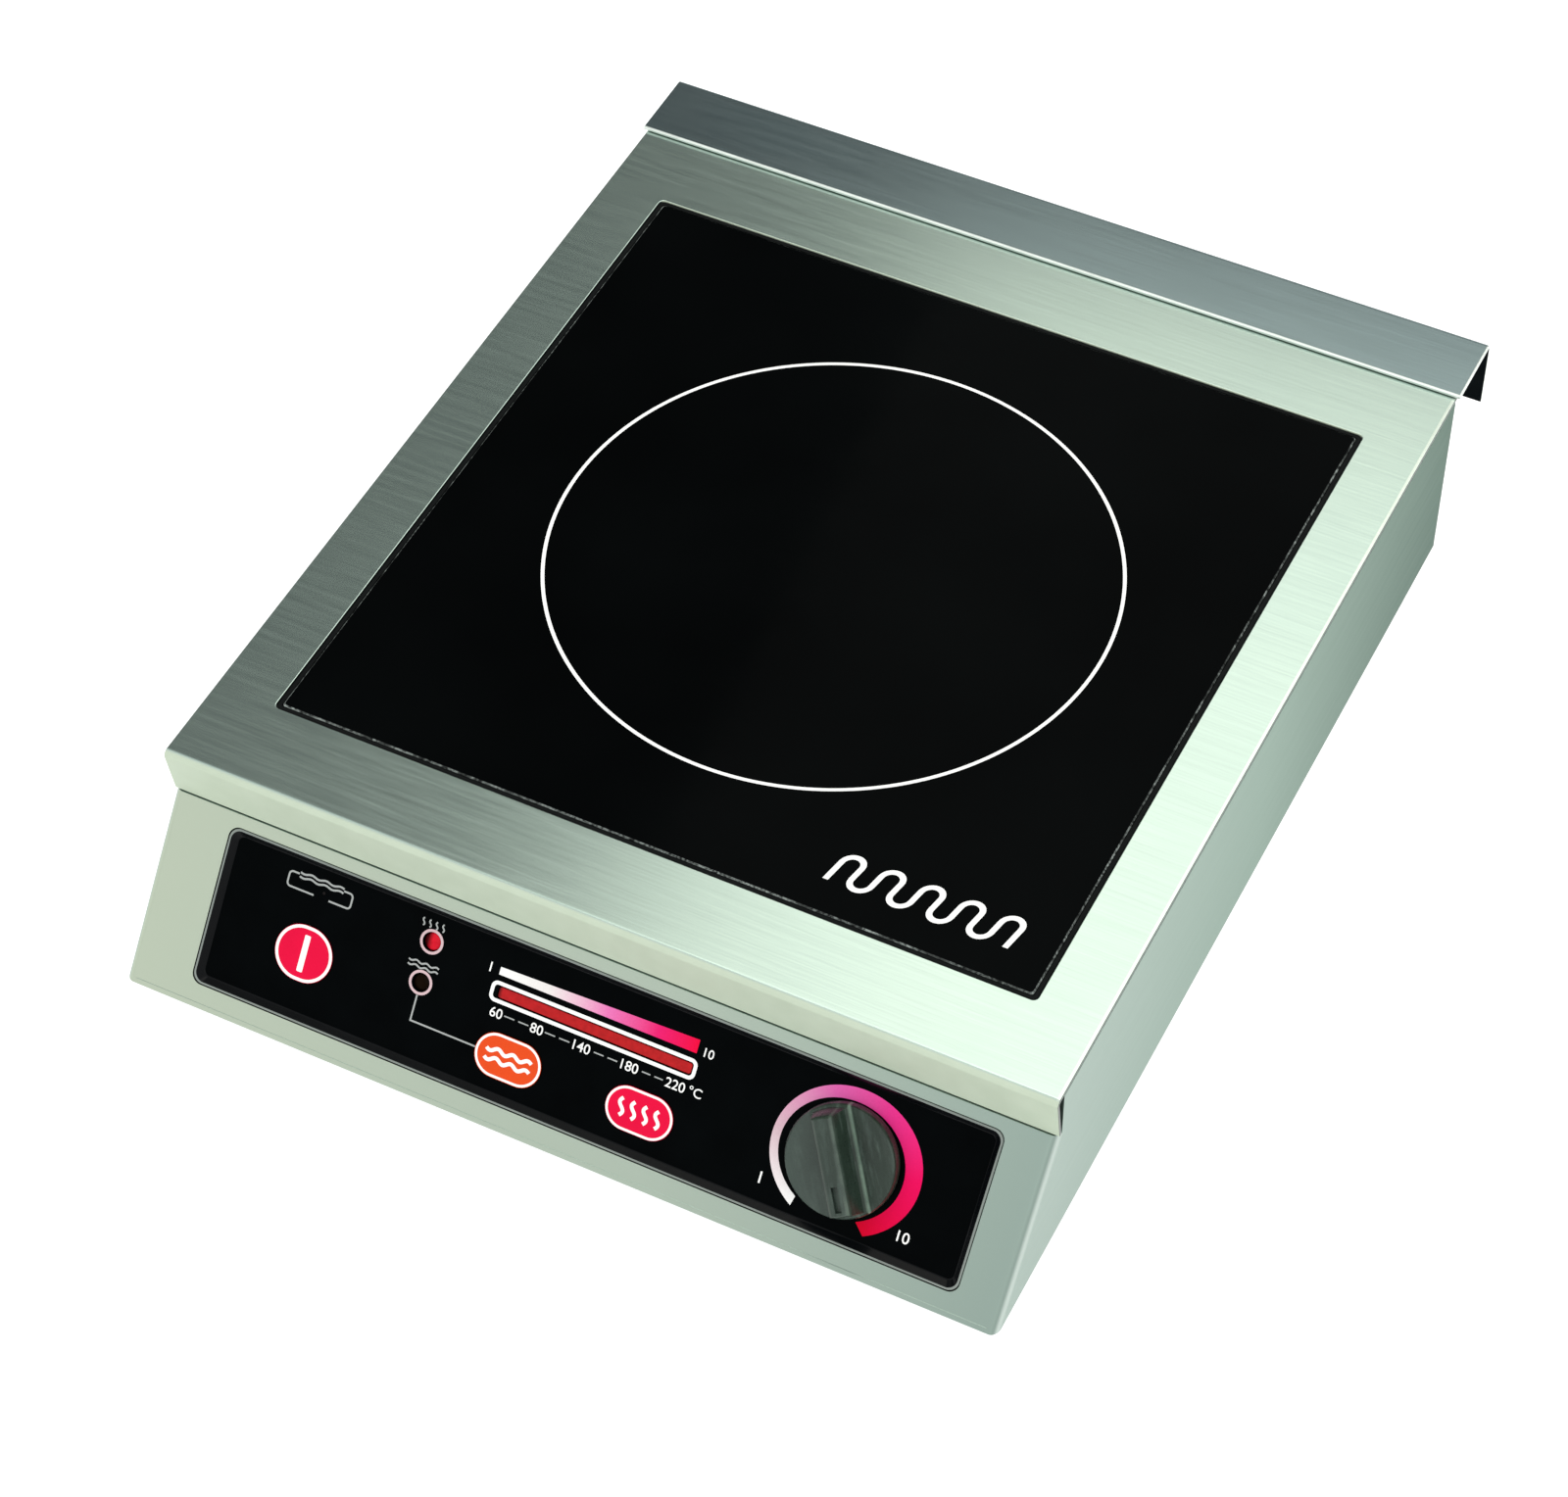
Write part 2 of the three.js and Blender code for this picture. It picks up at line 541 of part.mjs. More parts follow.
// Knob: a low bevelled disc with a straight grip blade across it, hollow over the shaft's nut.
function knob() {
  const bottom = 0.6;
  const disc = turned([
    [0, bottom],
    [KNOB_RADIUS - 0.4, bottom],
    [KNOB_RADIUS, bottom + 0.5],
    [KNOB_RADIUS - 0.5, 4.4],
    [KNOB_RADIUS - 1.5, 5],
    [0, 5],
  ], 40);
  const bladeBody = turned([
    [0, 4],
    [KNOB_RADIUS - 1.2, 4],
    [KNOB_RADIUS - 2.6, KNOB_HEIGHT - 1],
    [KNOB_RADIUS - 3.6, KNOB_HEIGHT],
    [0, KNOB_HEIGHT],
  ], 40);
  const width = 7;
  const sideCuts = [-1, 1].map((side) => {
    const x = side * (width / 2 + 25);
    return new THREE.BoxGeometry(50, 60, 30).translate(x, 0, 20);
  });
  const blade = solid(bladeBody).subtract(solid(sideCuts[0])).subtract(solid(sideCuts[1]));
  const body = solid(disc).add(blade);
  const tools = [
    rod(0, 0, 9, -1, 3, 32),
    rod(0, 0, SHAFT_RADIUS + SHAFT_CLEARANCE, -1, 9.6, 20),
    box([-1.1, -16.4, KNOB_HEIGHT - 2], [1.1, -8.2, KNOB_HEIGHT + 1]),
  ];
  return geometryOf(tools.reduce((total, tool) => total.subtract(solid(tool)), body));
}

function encoderBody() {
  const [x, y] = KNOB_PLACE;
  const top = -6.2;
  const housing = box([x - 7, y - 6.5, BOARD_FRONT + GAP], [x + 7, y + 6.5, top]);
  const bushing = rod(x, y, 4.5, top - 0.5, 0.3, 20);
  const bore = rod(x, y, SHAFT_RADIUS + SHAFT_CLEARANCE, BOARD_FRONT + 1.3, 5, 20);
  return cut(join(housing, bushing), bore);
}

function encoderNut() {
  const [x, y] = KNOB_PLACE;
  const hexagon = rod(x, y, 7, FACE + GAP, 0.1, 6);
  return cut(hexagon, rod(x, y, 4.8, -5, 5, 20));
}

function lampLens(lamp) {
  const profile = [[0, LENS_DEPTH], [LAMP_RADIUS, LENS_DEPTH], [LAMP_RADIUS, FACE - 1.4]];
  for (let index = 1; index <= 3; index += 1) {
    const angle = (Math.PI / 2) * (index / 3);
    profile.push([LAMP_RADIUS * Math.cos(angle), FACE - 1.4 + 0.7 * Math.sin(angle)]);
  }
  profile[profile.length - 1][0] = 0;
  return turned(profile, 20).translate(...lamp.place, 0);
}

function controlBoard() {
  const [left, top] = bezelPoint(14, 4);
  const [right, bottom] = bezelPoint(268, 45);
  return box([left, bottom, BOARD_FRONT - 1.6], [right, top, BOARD_FRONT]);
}

function controlsGroup() {
  const group = new THREE.Group();
  group.position.set(0, SLOPE_TOP_Y, SLOPE_TOP_Z);
  group.rotation.x = SLOPE_ANGLE;
  group.add(piece("control_bezel", controlBezel(), "glossBlack"));
  BUTTONS.forEach((button) => {
    group.add(piece(`${button.name}_button`, pushButton(button), button.finish));
    group.add(piece(`${button.name}_switch`, tactSwitch(button), "blackPlastic"));
  });
  LAMPS.forEach((lamp) => group.add(piece(lamp.name, lampLens(lamp), lamp.finish)));
  const bar = slab(...BAR_PLACE, ...BAR_SIZE, 0.8, -12, FACE - 0.2, 2);
  group.add(piece("light_bar", bar, "redLens"));
  const grip = piece("knob", knob(), "knobGrey");
  grip.position.set(...KNOB_PLACE, FACE);
  grip.rotation.z = KNOB_REST;
  group.add(grip);
  const shaft = rod(...KNOB_PLACE, SHAFT_RADIUS, BOARD_FRONT + 1.6, FACE + 9.3, 20);
  group.add(piece("encoder_shaft", shaft, "aluminium"));
  group.add(piece("encoder_body", encoderBody(), "zinc"));
  group.add(piece("encoder_nut", encoderNut(), "brass"));
  group.add(piece("control_board", controlBoard(), "boardGreen"));
  return group;
}

// ---------------------------------------------------------------- power electronics
const BOARD = { left: -150, right: 50, front: -64, rear: 40, bottom: 27, thick: 1.6 };
const ON_BOARD = BOARD.bottom + BOARD.thick + GAP;

function onBoard(x, y, width, depth, height) {
  return box(
    [x - width / 2, y - depth / 2, ON_BOARD],
    [x + width / 2, y + depth / 2, ON_BOARD + height],
  );
}

// Finned extrusion lying on the power semiconductors, fins upwards, open from front to rear.
function heatsink() {
  const bottom = ON_BOARD + 5 + GAP;
  const left = -146;
  const fins = 11;
  const pitch = 8.6;
  const finHeight = 24;
  const baseTop = bottom + 5;
  const outline = [[left, bottom], [left + pitch * (fins - 1) + 2, bottom]];
  for (let index = fins - 1; index >= 0; index -= 1) {
    const x = left + pitch * index;
    outline.push([x + 2, baseTop + finHeight], [x, baseTop + finHeight]);
    if (index > 0) outline.push([x, baseTop], [x - pitch + 2, baseTop]);
  }
  const shape = new THREE.Shape(outline.map(([x, z]) => new THREE.Vector2(x, z)));
  const options = { depth: 70, bevelEnabled: false };
  return new THREE.ExtrudeGeometry(shape, options).rotateX(Math.PI / 2).translate(0, 36, 0);
}

function filterChoke() {
  const torus = new THREE.TorusGeometry(14, 6, 8, 20);
  return torus.translate(22, 20, ON_BOARD + 6);
}

function electronicsGroup() {
  const group = new THREE.Group();
  const low = [BOARD.left, BOARD.front, BOARD.bottom];
  const high = [BOARD.right, BOARD.rear, BOARD.bottom + BOARD.thick];
  group.add(piece("power_board", box(low, high), "boardGreen"));
  [[1, 1], [1, -1], [-1, 1], [-1, -1]].forEach(([sideX, sideY], index) => {
    const x = (BOARD.left + BOARD.right) / 2 + sideX * ((BOARD.right - BOARD.left) / 2 - 6);
    const y = (BOARD.front + BOARD.rear) / 2 + sideY * ((BOARD.rear - BOARD.front) / 2 - 6);
    const post = rod(x, y, 4, INSIDE_Z + GAP, BOARD.bottom - GAP, 6);
    group.add(piece(`board_standoff_${index + 1}`, post, "brass"));
  });
  group.add(piece("heatsink", heatsink(), "aluminium"));
  [-128, -100].forEach((x, index) => {
    const name = `power_transistor_${index + 1}`;
    group.add(piece(name, onBoard(x, 0, 16, 21, 5), "blackPlastic"));
  });
  group.add(piece("bridge_rectifier", onBoard(-70, 0, 22, 21, 5), "blackPlastic"));
  group.add(piece("resonance_capacitor", onBoard(-18, 8, 26, 42, 32), "resin"));
  group.add(piece("filter_capacitor", onBoard(-18, -40, 30, 24, 28), "resin"));
  group.add(piece("filter_choke", filterChoke(), "copper"));
  const terminals = box([70, 120, INSIDE_Z + GAP], [104, 142, INSIDE_Z + 20]);
  group.add(piece("terminal_block", terminals, "mica"));
  return group;
}

// ---------------------------------------------------------------- fan
function fanHousing() {
  const half = FAN_SIDE / 2;
  const bottom = INSIDE_Z + GAP;
  const top = bottom + FAN_THICK;
  const block = slab(0, 0, FAN_SIDE, FAN_SIDE, 5, bottom, top, 3);
  const spokes = aroundZ(3, () => box([12, -2, bottom], [half - 1, 2, bottom + 3]));
  const bored = cut(block, rod(0, 0, half - 2.5, bottom - 1, top + 1, 48));
  return join(bored, rod(0, 0, 17, bottom, bottom + 3, 32), ...spokes);
}

function fanRotor() {
  const bottom = INSIDE_Z + GAP + 3.4;
  const top = bottom + 20;
  const blades = aroundZ(BLADE_COUNT, () => {
    const vane = new THREE.BoxGeometry(26, 1.6, 22);
    return vane.rotateX(THREE.MathUtils.degToRad(52)).translate(28, 0, (bottom + top) / 2);
  });
  return join(rod(0, 0, 18, bottom, top, 32), ...blades);
}

function fanGroup() {
  const group = new THREE.Group();
  group.position.set(FAN_X, FAN_Y, 0);
  group.add(piece("fan_housing", fanHousing(), "blackPlastic"));
  group.add(piece("fan_rotor", fanRotor(), "blackPlastic"));
  return group;
}

// ---------------------------------------------------------------- wiring
// Cord gland through the rear panel, modelled about its own axis with +Z pointing backwards.
function cordGland() {
  const collar = rod(0, 0, 11, GAP, 6, 6);
  const dome = rod(0, 0, 9.5, 5, 16, 24, 7.5);
  const thread = rod(0, 0, 8, -12, 1, 24);
  return cut(join(collar, dome, thread), rod(0, 0, 4.5, -20, 30, 20));
}

function glandGroup() {
  const group = new THREE.Group();
  group.position.set(GLAND_X, REAR_PANEL_Y, GLAND_Z);
  group.rotation.x = -Math.PI / 2;
  const nutTop = -SHEET - GAP;
  const nut = cut(rod(0, 0, 11, nutTop - 4, nutTop, 6), rod(0, 0, 8.3, -20, 10, 24));
  group.add(piece("cord_gland", cordGland(), "blackPlastic"));
  group.add(piece("gland_nut", nut, "blackPlastic"));
  return group;
}

// Leads from the coil's edge down to the power board.
function coilLeads() {
  const startZ = COIL_BOTTOM_Z + 2.5;
  return [1, -1].map((side, index) => {
    const y = GLASS_Y - 30 + 9 * side;
    const points = [
      [COIL_RADIUS + 3, y, startZ],
      [COIL_RADIUS + 12, y - 4, startZ - 8],
      [COIL_RADIUS + 8, y - 10, 50],
      [72, y - 14, 38],
      [55, y - 14, 36],
      [42, y - 12, ON_BOARD + 4],
    ];
    return piece(`coil_lead_${index + 1}`, tube(points, 2, 24), "copper");
  });
}

// ---------------------------------------------------------------- assembly
const hob = new THREE.Group();
hob.add(piece("top_plate", topPlate(), "steel"));
hob.add(piece("rear_flange", rearFlange(), "darkSteel"));
hob.add(piece("body_wrap", bodyWrap(), "steel"));
hob.add(piece("rear_panel", rearPanel(), "steel"));
hob.add(piece("base_plate", basePlate(), "zinc"));
hob.add(piece("glass_seal", glassSeal(), "sealant"));
hob.add(piece("glass_support_frame", supportFrame(), "zinc"));
FOOT_PLACES.forEach(([name, x, y]) => {
  const pad = piece(`foot_${name}`, foot(), "rubber");
  pad.position.set(x, y, 0);
  hob.add(pad);
});
hob.add(cookingGroup());
hob.add(controlsGroup());
hob.add(electronicsGroup());
hob.add(fanGroup());
hob.add(glandGroup());
hob.add(...coilLeads());

export default hob;
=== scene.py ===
"""Looks of the countertop induction hob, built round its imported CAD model.

The casing, the electronics and everything that moves come from the CAD frame and only get
materials and softened edges. The printed marks, the glass, the bezel, the knob, the coil's
winding and the screws are built here. Lengths are in millimetres, and MM turns them into
metres; what is measured from the frame is in metres until it is divided by MM.
"""
import itertools
import json
import math

import bmesh
import bpy
from mathutils import Matrix, Quaternion, Vector


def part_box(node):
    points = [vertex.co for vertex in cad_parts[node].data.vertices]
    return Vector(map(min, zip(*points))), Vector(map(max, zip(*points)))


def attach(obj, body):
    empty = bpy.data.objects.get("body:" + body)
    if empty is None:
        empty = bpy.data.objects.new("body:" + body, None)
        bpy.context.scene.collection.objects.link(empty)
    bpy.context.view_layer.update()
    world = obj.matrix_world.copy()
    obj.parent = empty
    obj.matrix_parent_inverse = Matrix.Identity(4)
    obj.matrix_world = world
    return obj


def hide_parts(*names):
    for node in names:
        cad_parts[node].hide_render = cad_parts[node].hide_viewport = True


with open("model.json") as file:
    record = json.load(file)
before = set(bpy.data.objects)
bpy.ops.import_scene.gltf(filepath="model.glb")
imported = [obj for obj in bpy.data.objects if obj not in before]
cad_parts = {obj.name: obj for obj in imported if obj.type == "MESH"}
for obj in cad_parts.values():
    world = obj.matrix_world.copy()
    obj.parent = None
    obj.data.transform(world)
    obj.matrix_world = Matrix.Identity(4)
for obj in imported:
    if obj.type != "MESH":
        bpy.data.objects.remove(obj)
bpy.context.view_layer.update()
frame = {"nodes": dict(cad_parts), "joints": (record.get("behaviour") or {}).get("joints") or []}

MM = 0.001

# -------- camera and light
# Places, distances and the lights' sizes are in metres, and angles are in degrees.
LENS = 99.8
SENSOR_WIDTH = 36
CAMERA_AZIMUTH = 26.97  # round from the front, towards the right-hand side
CAMERA_ELEVATION = 49.3
CAMERA_ROLL = -0.55
CAMERA_DISTANCE = 1.5232
CAMERA_AIM = (0.0038, -0.0409, 0.045)
SKY = 1.12
SHADE = 0.19
SHADE_DIRECTION = (-0.52, 0.62, 0.58)
SHADE_CORE = 16
SHADE_EDGE = 42

# -------- control panel's own axes
KNOB_JOINT = next(joint for joint in frame["joints"] if joint["name"] == "knob_turn")
RIGHT = Vector((1, 0, 0))
FRONT = Vector((0, -1, 0))
SKYWARD = Vector((0, 0, 1))
OUT = Vector(KNOB_JOINT["axis"]).normalized()
UP = OUT.cross(RIGHT)
BEZEL_LUG = 6  # how far the bezel's lugs reach past its rim, each side
BEZEL_DEPTH = 2.2  # from the rim's crest down to the panel's face
BEZEL_FLOOR = 2  # thickness of the bezel's floor
FLOOR = -BEZEL_DEPTH  # height of the panel's face
BUTTON_PROUD = 0.5
BUTTON_FACE = FLOOR + BUTTON_PROUD
HOLDING_RIM = 1.2  # hidden rim round each button that holds it behind the bezel
LAMP_HOLE = 3.3  # radii of the bezel's round holes
KNOB_HOLE = 4.9
KNOB_REST = math.radians(28.5)  # lean of the knob's blade at rest
CASING_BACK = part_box("body_wrap")[1].y


def along_panel(node):
    """Lowest and highest corner of a CAD node along the panel's axes, in metres."""
    points = [v.co for v in frame["nodes"][node].data.vertices]
    measured = [Vector((p.dot(RIGHT), p.dot(UP), p.dot(OUT))) for p in points]
    low = Vector(map(min, zip(*measured)))
    high = Vector(map(max, zip(*measured)))
    return low, high


BEZEL_LOW, BEZEL_HIGH = along_panel("control_bezel")
CORNER = Vector((BEZEL_LOW.x + BEZEL_LUG * MM, BEZEL_HIGH.y, BEZEL_HIGH.z))
BEZEL_WIDTH = (BEZEL_HIGH.x - CORNER.x) / MM - BEZEL_LUG
BEZEL_HEIGHT = (BEZEL_HIGH.y - BEZEL_LOW.y) / MM
# Places on the panel are (right, down) from the bezel's upper left corner; out is its height.
PANEL = Matrix.Translation(RIGHT * CORNER.x + UP * CORNER.y + OUT * CORNER.z)
PANEL = PANEL @ Matrix((RIGHT, UP, OUT)).transposed().to_4x4()


def panel_place(node):
    """Middle of a CAD node on the panel, as (right, down)."""
    low, high = along_panel(node)
    middle = (low + high) / 2 - CORNER
    return middle.x / MM, -middle.y / MM


def panel_size(node):
    """Width and height of a CAD node along the panel."""
    low, high = along_panel(node)
    return (high.x - low.x) / MM, (high.y - low.y) / MM


def button_size(name):
    """Width and height of a button's cap, without the rim that holds it behind the bezel."""
    width, height = panel_size(name)
    return width - 2 * HOLDING_RIM, height - 2 * HOLDING_RIM


# -------- materials
WHITE = (0.86, 0.87, 0.85)
STEEL = (0.44, 0.55, 0.49)


def link(tree, source, target):
    tree.links.new(source, target)


def new_material(name, **sockets):
    material = bpy.data.materials.new(name)
    material.use_nodes = True
    shader = material.node_tree.nodes["Principled BSDF"]
    for socket, value in sockets.items():
        shader.inputs[socket.replace("_", " ").title().replace("Ior", "IOR")].default_value = value
    return material, material.node_tree, shader


def noise(tree, scale, detail=3.0, roughness=0.55):
    """Noise with its own scale along each axis, in cycles a metre."""
    place = tree.nodes.new("ShaderNodeTexCoord")
    mapping = tree.nodes.new("ShaderNodeMapping")
    mapping.inputs["Scale"].default_value = scale
    texture = tree.nodes.new("ShaderNodeTexNoise")
    texture.inputs["Scale"].default_value = 1
    texture.inputs["Detail"].default_value = detail
    texture.inputs["Roughness"].default_value = roughness
    link(tree, place.outputs["Object"], mapping.inputs["Vector"])
    link(tree, mapping.outputs["Vector"], texture.inputs["Vector"])
    return texture.outputs["Fac"]


def spread(tree, factor, low, high, start=0.3, end=0.7):
    """Maps a 0 to 1 factor to values between low and high."""
    node = tree.nodes.new("ShaderNodeMapRange")
    node.inputs["From Min"].default_value = start
    node.inputs["From Max"].default_value = end
    node.inputs["To Min"].default_value = low
    node.inputs["To Max"].default_value = high
    link(tree, factor, node.inputs["Value"])
    return node.outputs["Result"]


def ramp(tree, factor, stops):
    node = tree.nodes.new("ShaderNodeValToRGB")
    while len(node.color_ramp.elements) < len(stops):
        node.color_ramp.elements.new(0.5)
    for element, (position, colour) in zip(node.color_ramp.elements, stops):
        element.position = position
        element.color = (*colour, 1)
    link(tree, factor, node.inputs["Fac"])
    return node.outputs["Color"]


def bump(tree, shader, height, strength, distance):
    node = tree.nodes.new("ShaderNodeBump")
    node.inputs["Strength"].default_value = strength
    node.inputs["Distance"].default_value = distance
    link(tree, height, node.inputs["Height"])
    if shader.inputs["Normal"].is_linked:
        link(tree, shader.inputs["Normal"].links[0].from_socket, node.inputs["Normal"])
    link(tree, node.outputs["Normal"], shader.inputs["Normal"])


def shade(colour, factor):
    return tuple(min(1.0, channel * factor) for channel in colour)


def multiply(tree, first, second):
    node = tree.nodes.new("ShaderNodeMix")
    node.data_type = "RGBA"
    node.blend_type = "MULTIPLY"
    node.inputs["Factor"].default_value = 1
    link(tree, first, node.inputs["A"])
    link(tree, second, node.inputs["B"])
    return node.outputs["Result"]


def surface(name, colour, roughness, grain, variation, bumps, **sockets):
    """Moulded, cast or painted surface: mottled colour, uneven gloss and a fine grain."""
    material, tree, shader = new_material(name, **sockets)
    mottle = noise(tree, (60, 60, 60), 4)
    stops = [(0.3, shade(colour, 1 - variation)), (0.7, shade(colour, 1 + variation))]
    link(tree, ramp(tree, mottle, stops), shader.inputs["Base Color"])
    fine = noise(tree, (grain, grain, grain), 4)
    gloss = spread(tree, fine, roughness * 0.85, roughness * 1.15)
    link(tree, gloss, shader.inputs["Roughness"])
    if bumps:
        bump(tree, shader, fine, bumps, 0.0002)
    return material


def brushed_steel(name, colour, grain, roughness=(0.2, 0.25)):
    """Rolled stainless sheet with a long brushed grain, wider streaks and handling marks."""
    material, tree, shader = new_material(name, metallic=1)
    along_grain = min(grain)
    widening = 0.3
    wide = [value if value == along_grain else value * widening for value in grain]
    hair = noise(tree, grain, 2, 0.6)
    streak = noise(tree, wide, 3, 0.6)
    marks = noise(tree, (7, 7, 7), 4, 0.55)
    hair_tint = ramp(tree, hair, [(0.25, shade(colour, 0.94)), (0.75, shade(colour, 1.05))])
    streak_tint = ramp(tree, streak, [(0.3, (0.97, 0.972, 0.972)), (0.7, (1, 1, 1))])
    mark_tint = ramp(tree, marks, [(0.35, (0.93, 0.94, 0.95)), (0.65, (1, 1, 1))])
    tint = multiply(tree, multiply(tree, hair_tint, streak_tint), mark_tint)
    link(tree, tint, shader.inputs["Base Color"])
    link(tree, spread(tree, streak, *roughness), shader.inputs["Roughness"])
    bump(tree, shader, hair, 0.05, 0.00003)
    bump(tree, shader, marks, 0.02, 0.002)
    return material


def position(tree, coordinates, axis):
    """One coordinate of each point of the surface."""
    place = tree.nodes.new("ShaderNodeTexCoord")
    split = tree.nodes.new("ShaderNodeSeparateXYZ")
    link(tree, place.outputs[coordinates], split.inputs["Vector"])
    return split.outputs[axis]


def along(tree, axis, start, end):
    """0 to 1 along one axis of the CAD frame, between two places in millimetres."""
    return spread(tree, position(tree, "Object", axis), 0, 1, start * MM, end * MM)


def component(tree, vector, direction, start, end):
    """0 to 1 as a vector turns, by its component along a direction."""
    node = tree.nodes.new("ShaderNodeVectorMath")
    node.operation = "DOT_PRODUCT"
    node.inputs[1].default_value = Vector(direction).normalized()
    link(tree, vector, node.inputs[0])
    return spread(tree, node.outputs["Value"], 0, 1, start, end)


def facing(tree, direction, start, end):
    """0 to 1 as the surface's normal turns towards a direction."""
    geometry = tree.nodes.new("ShaderNodeNewGeometry")
    return component(tree, geometry.outputs["Normal"], direction, start, end)


def both(tree, first, second):
    node = tree.nodes.new("ShaderNodeMath")
    node.operation = "MULTIPLY"
    link(tree, first, node.inputs[0])
    link(tree, second, node.inputs[1])
    return node.outputs["Value"]


def blend(tree, mask, socket, source, data_type="FLOAT"):
    """Mixes a source, where the mask is 1, over what a shader's socket already gets."""
    node = tree.nodes.new("ShaderNodeMix")
    node.data_type = data_type
    link(tree, mask, node.inputs["Factor"])
    link(tree, socket.links[0].from_socket, node.inputs["A"])
    link(tree, source, node.inputs["B"])
    link(tree, node.outputs["Result"], socket)


def overlay(material, mask, stops, factor=None, sheen=None, metal=None):
    """Gives the masked part of a surface its own colour, and its own roughness and metal."""
    tree = material.node_tree
    shader = tree.nodes["Principled BSDF"]
    if factor is None:
        factor = noise(tree, (120, 120, 120), 3)
    blend(tree, mask, shader.inputs["Base Color"], ramp(tree, factor, stops), "RGBA")
    if sheen:
        blend(tree, mask, shader.inputs["Roughness"], spread(tree, factor, *sheen))
    if metal is not None:
        link(tree, spread(tree, mask, 1, metal, 0, 1), shader.inputs["Metallic"])


def top_steel():
    """Top plate: a matt skirt with a painted cream sheen, painted seam shadow on its side-facing cut
    edges and a painted highlight beside the right one.
    """
    material = brushed_steel("top_steel", STEEL, (26, 1500, 1500))
    tree = material.node_tree
    # Painted sheen: where the plate faces front, the skirt gets a lighter cream colour and a matt,
    # hardly metal finish.
    skirt_sheen = [(0.3, (0.46, 0.54, 0.42)), (0.7, (0.49, 0.57, 0.45))]
    overlay(material, facing(tree, FRONT, 0.3, 0.6), skirt_sheen, sheen=(0.55, 0.65), metal=0.1)
    # Painted seam shadow: faces turned left or right, which are the plate's cut edges and the skirt's
    # ends, are made nearly black.
    cut = [(0.3, (0.05, 0.07, 0.06)), (0.7, (0.08, 0.10, 0.09))]
    overlay(material, facing(tree, RIGHT, 0.5, 0.8), cut)
    overlay(material, facing(tree, RIGHT, -0.5, -0.8), cut)
    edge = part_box("top_plate")[1].x / MM
    beside_edge = along(tree, "X", edge - 1.4, edge - 1.0)
    # Painted highlight: a pale band on the top face just inside the right edge.
    edge_highlight = [(0.3, (0.55, 0.63, 0.56)), (0.7, (0.61, 0.69, 0.62))]
    overlay(material, both(tree, beside_edge, facing(tree, SKYWARD, 0.8, 0.95)), edge_highlight)
    return material


def wrap_steel():
    """Front and sides: painted shade darkens and cools the front towards the right, and darkens the
    sides to the rear.
    """
    material = brushed_steel("wrap_steel", STEEL, (16, 16, 1500), (0.34, 0.38))
    tree = material.node_tree
    tree.nodes["Principled BSDF"].inputs["Specular Tint"].default_value = (0.62, 0.69, 0.66, 1)
    across = along(tree, "X", -160, 160)
    # Painted shade: the front grows darker from left to right.
    front = [(0, (0.445, 0.51, 0.405)), (0.6, (0.36, 0.43, 0.36)), (1, (0.248, 0.32, 0.283))]
    overlay(material, facing(tree, FRONT, 0.3, 0.5), front, across)
    back = along(tree, "Y", -170, 180)
    # Painted shade: both sides grow darker towards the rear.
    side = [(0, (0.47, 0.54, 0.50)), (0.5, (0.34, 0.43, 0.375)), (1, (0.10, 0.16, 0.127))]
    overlay(material, facing(tree, RIGHT, 0.5, 0.8), side, back)
    overlay(material, facing(tree, RIGHT, -0.5, -0.8), side, back)
    return material


def flange_steel():
    """Hood: darker brushed steel with painted highlights along its cut edges, and painted shadow
    inside its lip.
    """
    low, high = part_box("rear_flange")
    material = brushed_steel("flange_steel", (0.23, 0.30, 0.305), (26, 1500, 1500))
    tree = material.node_tree
    # Painted highlights: bright bands along the front and right-hand cut edges.
    bright = [(0.3, (0.72, 0.78, 0.74)), (0.7, (0.82, 0.88, 0.84))]
    front_edge = along(tree, "Y", low.y / MM + 1.1, low.y / MM + 0.8)
    overlay(material, front_edge, bright, sheen=(0.5, 0.6))
    right_edge = along(tree, "X", high.x / MM - 0.8, high.x / MM - 0.5)
    overlay(material, right_edge, bright)
    # Painted shadow: the front-facing inside of the lip is made nearly black.
    inside = both(tree, facing(tree, FRONT, 0.3, 0.6), along(tree, "Y", 195, 200))
    dark = [(0.3, (0.004, 0.005, 0.007)), (0.7, (0.008, 0.009, 0.012))]
    overlay(material, inside, dark)
    return material


def galvanised():
    """Zinc-coated sheet with its crystal pattern."""
    material, tree, shader = new_material("zinc_sheet", metallic=1)
    place = tree.nodes.new("ShaderNodeTexCoord")
    crystals = tree.nodes.new("ShaderNodeTexVoronoi")
    crystals.inputs["Scale"].default_value = 120
    link(tree, place.outputs["Object"], crystals.inputs["Vector"])
    separate = tree.nodes.new("ShaderNodeSeparateColor")
    link(tree, crystals.outputs["Color"], separate.inputs["Color"])
    facet = separate.outputs["Red"]
    tints = [(0, (0.49, 0.51, 0.51)), (1, (0.58, 0.60, 0.60))]
    link(tree, ramp(tree, facet, tints), shader.inputs["Base Color"])
    link(tree, spread(tree, facet, 0.34, 0.5, 0, 1), shader.inputs["Roughness"])
    bump(tree, shader, noise(tree, (900, 900, 900), 3), 0.08, 0.0001)
    return material


def print_ink(name, colour):
    """Opaque screen-printed ink, slightly uneven."""
    return surface(name, colour, 0.5, 1500, 0.03, 0.05, specular_ior_level=0.03)


